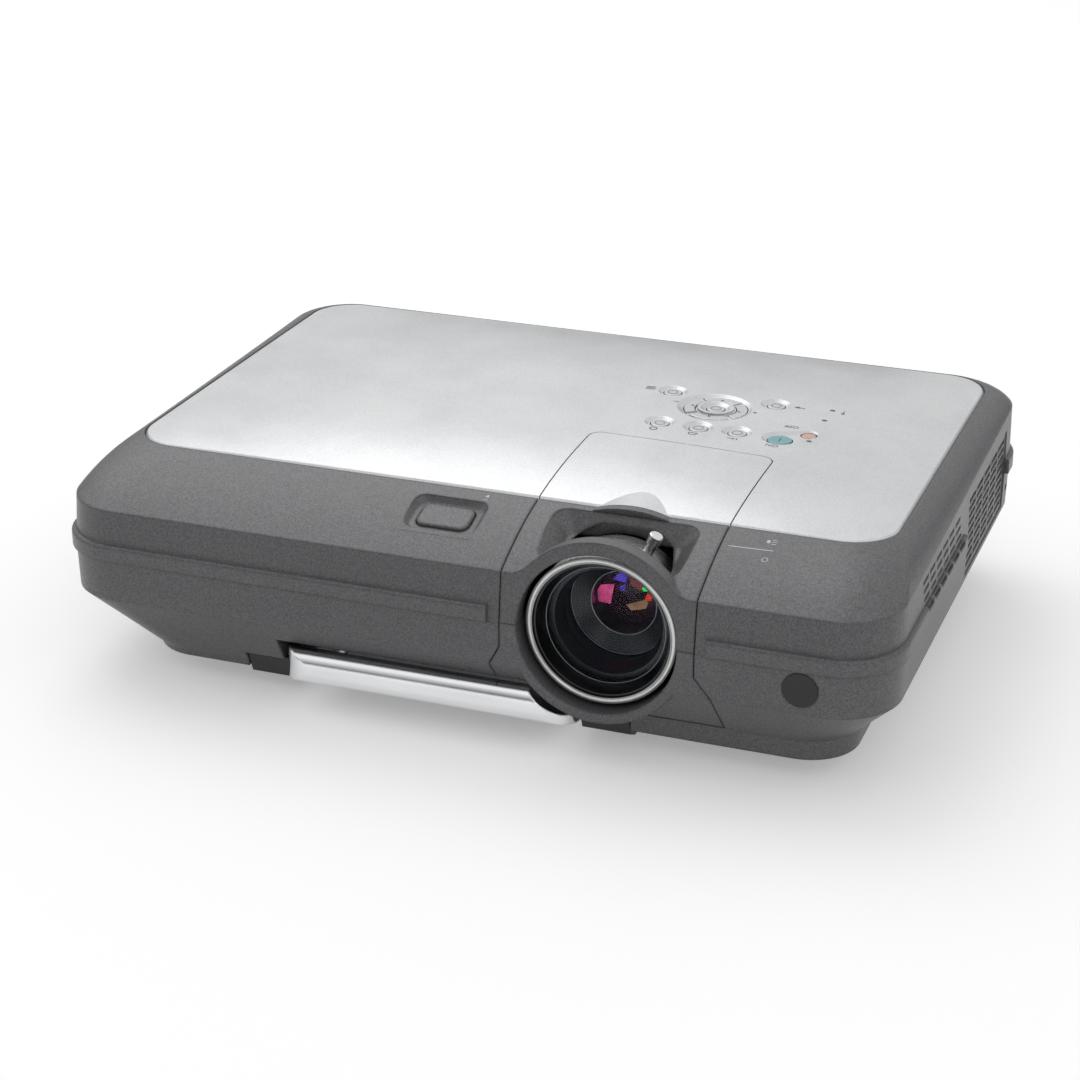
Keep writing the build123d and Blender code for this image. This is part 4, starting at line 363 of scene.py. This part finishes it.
PRISM = glass("prism_glass", (0.85, 0.95, 0.98), 0.03)
BOARD = circuit_board()
MARK_GREY = moulded("mark_grey", (0.10, 0.10, 0.11), 0.6)
MARK_WHITE = moulded("mark_white", (0.70, 0.70, 0.70), 0.6)
LIGHT_DARK = moulded("light_dark", (0.14, 0.15, 0.13), 0.15)
VIDEO_BLUE = moulded("socket_blue", (0.02, 0.06, 0.32), 0.4)
SIGNAL_YELLOW = moulded("socket_yellow", (0.75, 0.50, 0.03), 0.4)
SIGNAL_WHITE = moulded("socket_white", (0.72, 0.72, 0.70), 0.4)
SIGNAL_RED = moulded("socket_red", (0.55, 0.02, 0.02), 0.4)

NODE_MATERIALS = {
    GRAPHITE: ["upper_case", "lower_case", "lens_cover", "lens_front_panel", "height_button", "side_grille",
               "filter_door", "lamp_cover"],
    SILVER: ["top_panel", "lens_cover_plate"],
    BLACK: ["handle_brackets", "front_foot", "foot_housing", "rear_panel", "ac_inlet", "power_switch",
            "exhaust_fan_frame", "exhaust_fan_rotor", "intake_fan_frame", "intake_fan_rotor", "speaker"],
    BLACK_SATIN: ["lens_barrel", "zoom_lens_cell"],
    GLOSS_BLACK: ["ir_window", "front_lens_cell"],
    RUBBER: ["left_foot", "right_foot"],
    FOAM: ["air_filter"],
    KEY_PEARL: ["menu_key", "undo_key", "auto_key", "keystone_key", "input_key", "enter_key", "right_key",
                "up_key", "left_key", "down_key"],
    KEY_ON: ["on_key"],
    KEY_OFF: ["off_key"],
    POLISHED: ["carrying_handle"],
    RING_SILVER: ["zoom_ring", "zoom_knob"],
    RING_DARK: ["focus_ring"],
    STEEL: ["handle_pins", "left_foot_clip", "right_foot_clip", "screws", "signal_sockets", "lamp_housing"],
    CAST: ["optical_housing"],
    FRONT_GLASS: ["front_lens"],
    ZOOM_GLASS: ["zoom_lens"],
    PRISM: ["prism_block", "lcd_panels", "lamp_bulb"],
    BOARD: ["key_board", "main_board", "power_supply"],
    LIGHT_DARK: ["status_leds"],
}


def dress_nodes():
    for material, names in NODE_MATERIALS.items():
        for name in names:
            data = nodes[name].data
            data.materials.clear()
            data.materials.append(material)


# Mesh tools
CREASE_DEGREES = 35.0
MARK_LIFT = 0.06 * MM
ABOVE_CASE = 200 * MM


def finish_piece(name, mesh, material, body):
    """Links a mesh as a piece that rides on a body, smooth except at its creases."""
    piece = bpy.data.objects.new(name, mesh)
    scene.collection.objects.link(piece)
    mesh.materials.append(material)
    mesh.shade_smooth()
    mesh.set_sharp_from_angle(angle=math.radians(CREASE_DEGREES))
    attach(piece, body)


def lathe(name, profile, material, body, around=128, x=LENS_X, z=LENS_Z):
    """A closed profile of (y, radius) pairs turned about an axis along Y."""
    mesh = bpy.data.meshes.new(name)
    points = []
    for y, radius in profile:
        for step in range(around):
            angle = 2 * math.pi * step / around
            points.append((x + radius * math.cos(angle), y, z + radius * math.sin(angle)))
    count = len(profile)
    faces = []
    for row in range(count):
        after = (row + 1) % count
        for step in range(around):
            beside = (step + 1) % around
            faces.append((row * around + step, row * around + beside, after * around + beside,
                          after * around + step))
    mesh.from_pydata(points, [], faces)
    mesh.validate()
    work = bmesh.new()
    work.from_mesh(mesh)
    bmesh.ops.recalc_face_normals(work, faces=work.faces)
    work.to_mesh(mesh)
    work.free()
    finish_piece(name, mesh, material, body)


def dropped(points, node):
    """The points moved down in Z onto a node's surface, lifted by a hair."""
    target = nodes[node]
    landed = []
    for x, y in points:
        hit, place, normal, _ = target.ray_cast(Vector((x, y, ABOVE_CASE)), Vector((0, 0, -1)))
        landed.append(place + normal * MARK_LIFT if hit else None)
    return landed


def marks(name, outlines, node, body, material, slot):
    """Thin printed marks that lie on a node, each a convex outline in plan."""
    mesh = bpy.data.meshes.new(name)
    points = []
    faces = []
    for outline in outlines:
        landed = dropped(outline, node)
        if all(place is not None for place in landed):
            faces.append(tuple(range(len(points), len(points) + len(landed))))
            points.extend(landed)
    mesh.from_pydata(points, [], faces)
    finish_piece(name, mesh, material, body)


def bar(x, y, length, width, turn=0.0):
    """A thin rectangle in plan, in millimetres, turned in degrees."""
    angle = math.radians(turn)
    along = Vector((math.cos(angle), math.sin(angle))) * length / 2
    across = Vector((-math.sin(angle), math.cos(angle))) * width / 2
    middle = Vector((x, y))
    corners = (middle - along - across, middle + along - across, middle + along + across,
               middle - along + across)
    return [(corner.x * MM, corner.y * MM) for corner in corners]


def triangle(x, y, size, turn):
    """A small triangle in plan, in millimetres, pointing at an angle in degrees."""
    corners = [(x + size * math.cos(math.radians(turn + side)), y + size * math.sin(math.radians(turn + side)))
               for side in (0, 130, 230)]
    return [(corner_x * MM, corner_y * MM) for corner_x, corner_y in corners]


def ring_bars(x, y, radius, width, count=20):
    """A ring in plan made of short bars."""
    length = 2 * math.pi * radius / count * 1.05
    bars = []
    for step in range(count):
        angle = 2 * math.pi * step / count
        bars.append(bar(x + radius * math.cos(angle), y + radius * math.sin(angle), length, width,
                        math.degrees(angle) + 90))
    return bars


# Lens: bright rim, thin edges inside, the rear element with a faint painted glow, and coloured patches of
# painted reflection that glow on it
RIM_PROFILE = [(0.5, 31.0), (-0.1, 31.1), (-0.5, 31.5), (-0.6, 32.3), (-0.3, 32.9), (0.5, 33.1)]
REAR_PROFILE = [(1.0, 14.8), (0.55, 12.0), (0.22, 8.0), (0.05, 4.0), (0.0, 0.02), (3.0, 0.02), (3.0, 14.8)]
REAR_GAP = 1.6 * MM
GLINT_BACK = 1.5 * MM
# Each row: name, colour, glow strength and corners in millimetres of a painted reflection that glows though it
# is no lamp.
PAINTED_GLINTS = [
    ("painted_glint_magenta", (0.62, 0.06, 0.20), 0.6,
     [(-14.4, 0.7), (-12.8, 3.6), (-6.6, 4.9), (-8.2, -4.8), (-13.7, -4.4)]),
    ("painted_glint_violet", (0.07, 0.03, 0.42), 0.5, [(-7.4, 7.0), (-3.9, 10.9), (-0.7, 9.5), (-1.5, 6.2)]),
    ("painted_glint_indigo", (0.08, 0.03, 0.38), 0.4, [(-4.4, 4.2), (-1.5, 5.7), (-1.7, 2.3), (-3.9, 1.9)]),
    ("painted_glint_rust", (0.20, 0.03, 0.03), 0.35, [(-0.6, 9.5), (7.0, 6.0), (5.6, 3.5), (1.0, 5.4)]),
    ("painted_glint_green", (0.02, 0.80, 0.10), 1.0, [(5.7, 5.0), (7.7, 5.6), (8.4, 3.7), (6.6, 3.5)]),
    ("painted_glint_red", (0.62, 0.03, 0.01), 0.7, [(8.4, 2.9), (10.3, 1.7), (10.4, -0.4), (7.2, -0.9), (7.8, 1.6)]),
    ("painted_glint_amber", (0.26, 0.13, 0.06), 0.45,
     [(-1.2, -4.0), (7.2, -0.5), (8.8, -1.5), (7.8, -4.5), (1.2, -6.4)]),
]
# Dark rear glass that also glows faintly in its own colour though it is no lamp: a painted glow.
REAR_GLASS_PAINTED_GLOW = painted_glow_material("rear_glass_painted_glow", (0.030, 0.012, 0.016), 0.25)


def edge_ring(name, y, radius, width, material, body):
    """A thin rounded ring about the lens axis."""
    profile = [(y + width / 2 * math.sin(step * math.pi / 4), radius + width / 2 * math.cos(step * math.pi / 4))
               for step in range(8)]
    lathe(name, profile, material, body)


def painted_glint_patch(name, corners, y, material):
    """A small patch of painted reflection, a coloured glint that glows, on the rear element, from corners in
    millimetres about the axis.
    """
    mesh = bpy.data.meshes.new(name)
    work = bmesh.new()
    work.faces.new([work.verts.new((LENS_X + x * MM, y, LENS_Z + z * MM)) for x, z in corners])
    work.to_mesh(mesh)
    work.free()
    finish_piece(name, mesh, material, "zoom_lens_group")


def make_lens():
    """The rim, the thin bright edges, the rear element with its faint painted glow, and the glowing patches of
    painted reflection seen on it.
    """
    lathe("focus_rim", [(FRONT_Y + back * MM, radius * MM) for back, radius in RIM_PROFILE], RIM_BRIGHT,
          "focus_ring")
    glass_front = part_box("front_lens")[0].y
    edge_ring("front_glass_edge", glass_front + 0.7 * MM, 26.45 * MM, 0.3 * MM, EDGE_GREY, "front_lens_group")
    cell_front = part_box("zoom_lens_cell")[0].y
    inner_low, inner_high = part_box("zoom_lens")
    bore = (inner_high.x - inner_low.x) / 2
    edge_ring("zoom_cell_step", cell_front + 0.1 * MM, 22.6 * MM, 0.35 * MM, EDGE_GREY, "zoom_lens_group")
    edge_ring("zoom_glass_ring", cell_front + 3.3 * MM, bore - 0.25 * MM, 0.4 * MM, RIM_BRIGHT,
              "zoom_lens_group")
    rear_y = inner_high.y + REAR_GAP
    lathe("rear_element", [(rear_y + back * MM, radius * MM) for back, radius in REAR_PROFILE], REAR_GLASS_PAINTED_GLOW,
          "zoom_lens_group")
    glint_y = (inner_low.y + inner_high.y) / 2 + GLINT_BACK
    # Each patch is a painted reflection that glows in its own colour.
    for name, color, glow, corners in PAINTED_GLINTS:
        painted_glint_patch(name, corners, glint_y, painted_glow_material(name, color, glow))


# Small plain marks by the keys, the button and the lens, in millimetres
WORD_SIZE = 2.8 * 1.35


def middle(node):
    low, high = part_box(node)
    return (low.x + high.x) / 2 / MM, (low.y + high.y) / 2 / MM


def wording(name, text, x, y):
    """A short plain word on the silver panel, its foot towards the rear as the photograph shows it."""
    curve = bpy.data.curves.new(name + "_curve", "FONT")
    curve.body = text
    curve.size = WORD_SIZE
    curve.align_x = "CENTER"
    curve.align_y = "CENTER"
    draft = bpy.data.objects.new(name + "_draft", curve)
    scene.collection.objects.link(draft)
    mesh = bpy.data.meshes.new_from_object(draft.evaluated_get(bpy.context.evaluated_depsgraph_get()))
    bpy.data.objects.remove(draft)
    bpy.data.curves.remove(curve)
    turned = Matrix.Rotation(math.pi, 2)
    for vertex in mesh.vertices:
        flat = turned @ Vector((vertex.co.x, vertex.co.y))
        vertex.co = dropped([((x + flat.x) * MM, (y + flat.y) * MM)], "top_panel")[0]
    mesh.materials.clear()
    finish_piece(name, mesh, MARK_GREY, "casing")


def make_key_marks():
    icons = []
    menu_x, menu_y = middle("menu_key")
    icons += [bar(menu_x - 11.0, menu_y + 1.6 - step * 1.6, 4.6, 0.6) for step in range(3)]
    undo_x, undo_y = middle("undo_key")
    icons += [bar(undo_x + 12.0, undo_y, 3.6, 0.6), triangle(undo_x + 10.0, undo_y, 1.6, 180)]
    auto_x, auto_y = middle("auto_key")
    icons += ring_bars(auto_x, auto_y - 9.8, 1.6, 0.55, 16)
    stone_x, stone_y = middle("keystone_key")
    icons += [bar(stone_x, stone_y - 8.7, 4.4, 0.4), bar(stone_x, stone_y - 10.9, 2.6, 0.4),
              bar(stone_x - 1.75, stone_y - 9.8, 2.3, 0.4, 112),
              bar(stone_x + 1.75, stone_y - 9.8, 2.3, 0.4, 68)]
    input_x, input_y = middle("input_key")
    icons += [bar(input_x - 0.9, input_y - 9.7, 2.4, 0.45), triangle(input_x + 0.9, input_y - 9.7, 1.0, 0),
              bar(input_x + 2.4, input_y - 9.7, 0.45, 2.4)]
    left_x, left_y = middle("left_key")
    right_x, right_y = middle("right_key")
    icons += [bar(left_x - 8.0, left_y, 2.2, 0.45), bar(right_x + 7.6, right_y, 2.2, 0.45),
              bar(right_x + 7.6, right_y, 0.45, 2.2)]
    lights_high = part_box("status_leds")[1]
    light_x, light_y = lights_high.x / MM + 4.0, lights_high.y / MM - 1.5
    icons += [bar(light_x, light_y, 0.5, 2.4), *ring_bars(light_x, light_y - 2.0, 0.7, 0.4, 10)]
    marks("key_icons", icons, "top_panel", "casing", MARK_GREY, "black_plastic")
    on_x, on_y = middle("on_key")
    off_x, off_y = middle("off_key")
    wording("word_on", "ON", on_x - 1.0, on_y - 10.0)
    wording("word_off", "OFF", off_x - 9.5, off_y + 6.0)
    for node, turn in (("up_key", 90), ("down_key", 270), ("left_key", 180), ("right_key", 0)):
        x, y = middle(node)
        marks(f"arrow_on_{node}", [triangle(x, y, 1.0, turn)], node, node, MARK_GREY, "black_plastic")
    for node in ("menu_key", "undo_key", "auto_key", "keystone_key", "input_key", "enter_key"):
        x, y = middle(node)
        marks(f"ring_on_{node}", ring_bars(x, y, 2.3, 0.3, 20), node, node, MARK_GREY, "black_plastic")
    marks("bar_on_on_key", [bar(on_x, on_y, 0.5, 4.0)], "on_key", "on_key", MARK_GREY, "black_plastic")


def make_case_marks():
    icons = [triangle(1.0, -95.0, 1.3, 90), triangle(1.0, -98.4, 1.3, 270)]
    icons += [bar(121.5, -104.5, 19.0, 0.5, 2)]
    icons += ring_bars(129.0, -110.2, 1.2, 0.4, 16)
    icons += [bar(127.4, -98.6, 1.5, 2.0), bar(129.9, -98.6, 2.2, 0.4), bar(129.9, -100.0, 2.2, 0.4),
              bar(129.9, -97.2, 2.2, 0.4)]
    marks("case_icons", icons, "upper_case", "casing", MARK_WHITE, "silver_panel")


# Rear sockets: inserts with pins, hexagon nuts and coloured rings, in millimetres
SOCKET_DEPTH = 5.0 * MM
INSERT_HALF = 2.6
INSERT_LEAN = 0.9
PIN_ROWS = 1.5
PIN_RADIUS = 0.42
NUT_GAP = 3.0
NUT_RADIUS = 2.3
SOCKETS = [
    ("video_a", -146.0, 66.0, 19.0, VIDEO_BLUE, 3, 5),
    ("video_b", -106.0, 66.0, 19.0, VIDEO_BLUE, 3, 5),
    ("video_c", -66.0, 66.0, 19.0, VIDEO_BLUE, 3, 5),
    ("digital", -22.0, 66.0, 25.0, SIGNAL_WHITE, 3, 8),
    ("serial", -70.0, 40.0, 19.0, BLACK, 2, 5),
]
JACKS = {14.0: SIGNAL_YELLOW, 28.0: SIGNAL_WHITE, 42.0: SIGNAL_RED}
JACK_ROWS = (44.0, 66.0)
JACK_PROFILE = [(-0.3, 4.35), (1.0, 4.35), (1.3, 4.7), (1.0, 5.6), (-0.3, 5.8)]


def slab(name, outline, y_front, y_rear, material):
    """A thin block of the casing with a given outline in X and Z, its edges rounded."""
    mesh = bpy.data.meshes.new(name)
    work = bmesh.new()
    face = work.faces.new([work.verts.new((x * MM, y_front, z * MM)) for x, z in outline])
    moved = bmesh.ops.extrude_face_region(work, geom=[face])
    for part in moved["geom"]:
        if isinstance(part, bmesh.types.BMVert):
            part.co.y = y_rear
    bmesh.ops.recalc_face_normals(work, faces=work.faces)
    bmesh.ops.bevel(work, geom=work.edges, offset=SMALL_EDGE, segments=2, affect="EDGES")
    work.to_mesh(mesh)
    work.free()
    finish_piece(name, mesh, material, "casing")


def make_sockets():
    panel_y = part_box("rear_panel")[1].y
    floor_y = panel_y - SOCKET_DEPTH
    for name, x, z, width, material, rows, columns in SOCKETS:
        half = width / 2 - 1.6
        outline = [(x - half, z - INSERT_HALF), (x + half, z - INSERT_HALF),
                   (x + half - INSERT_LEAN, z + INSERT_HALF), (x - half + INSERT_LEAN, z + INSERT_HALF)]
        slab(f"{name}_insert", outline, floor_y, floor_y + 3.4 * MM, material)
        pitch = half * 1.6 / columns
        pins = [(x + (column - (columns - 1) / 2) * pitch, z + (row - (rows - 1) / 2) * PIN_ROWS)
                for row in range(rows) for column in range(columns)]
        stud_field(f"{name}_pins", pins, PIN_RADIUS, floor_y + 3.3 * MM, floor_y + 3.9 * MM, 8)
        nuts = [(x - width / 2 - NUT_GAP, z), (x + width / 2 + NUT_GAP, z)]
        stud_field(f"{name}_nuts", nuts, NUT_RADIUS, panel_y - 0.2 * MM, panel_y + 3.0 * MM, 6)
    for x, material in JACKS.items():
        for z in JACK_ROWS:
            profile = [(panel_y + back * MM, radius * MM) for back, radius in JACK_PROFILE]
            lathe(f"jack_ring_{int(x)}_{int(z)}", profile, material, "casing", 48,
                  x * MM, z * MM)


def stud_field(name, places, radius, y_front, y_rear, sides):
    """Small domed studs that point to the rear, as one piece."""
    mesh = bpy.data.meshes.new(name)
    work = bmesh.new()
    for x, z in places:
        rings = []
        for y, part in ((y_front, 1.0), (y_rear - 0.25 * MM, 1.0), (y_rear, 0.7)):
            rings.append([work.verts.new((x * MM + radius * MM * part * math.cos(2 * math.pi * side / sides), y,
                                          z * MM + radius * MM * part * math.sin(2 * math.pi * side / sides)))
                          for side in range(sides)])
        for near, far in zip(rings, rings[1:]):
            for side in range(sides):
                after = (side + 1) % sides
                work.faces.new((near[side], near[after], far[after], far[side]))
        work.faces.new(rings[-1])
        work.faces.new(rings[0])
    bmesh.ops.recalc_face_normals(work, faces=work.faces)
    work.to_mesh(mesh)
    work.free()
    finish_piece(name, mesh, STEEL, "casing")


make_camera()
make_floor()
make_world()
area_light("softbox_top", (-0.9, 0.9, 1.9), CENTRE, 1.8, 14)
area_light("softbox_front", (0.9, -2.0, 1.5), (0, 0, 50 * MM), 1.2, 6)
dress_nodes()
make_lens()
make_key_marks()
make_case_marks()
make_sockets()
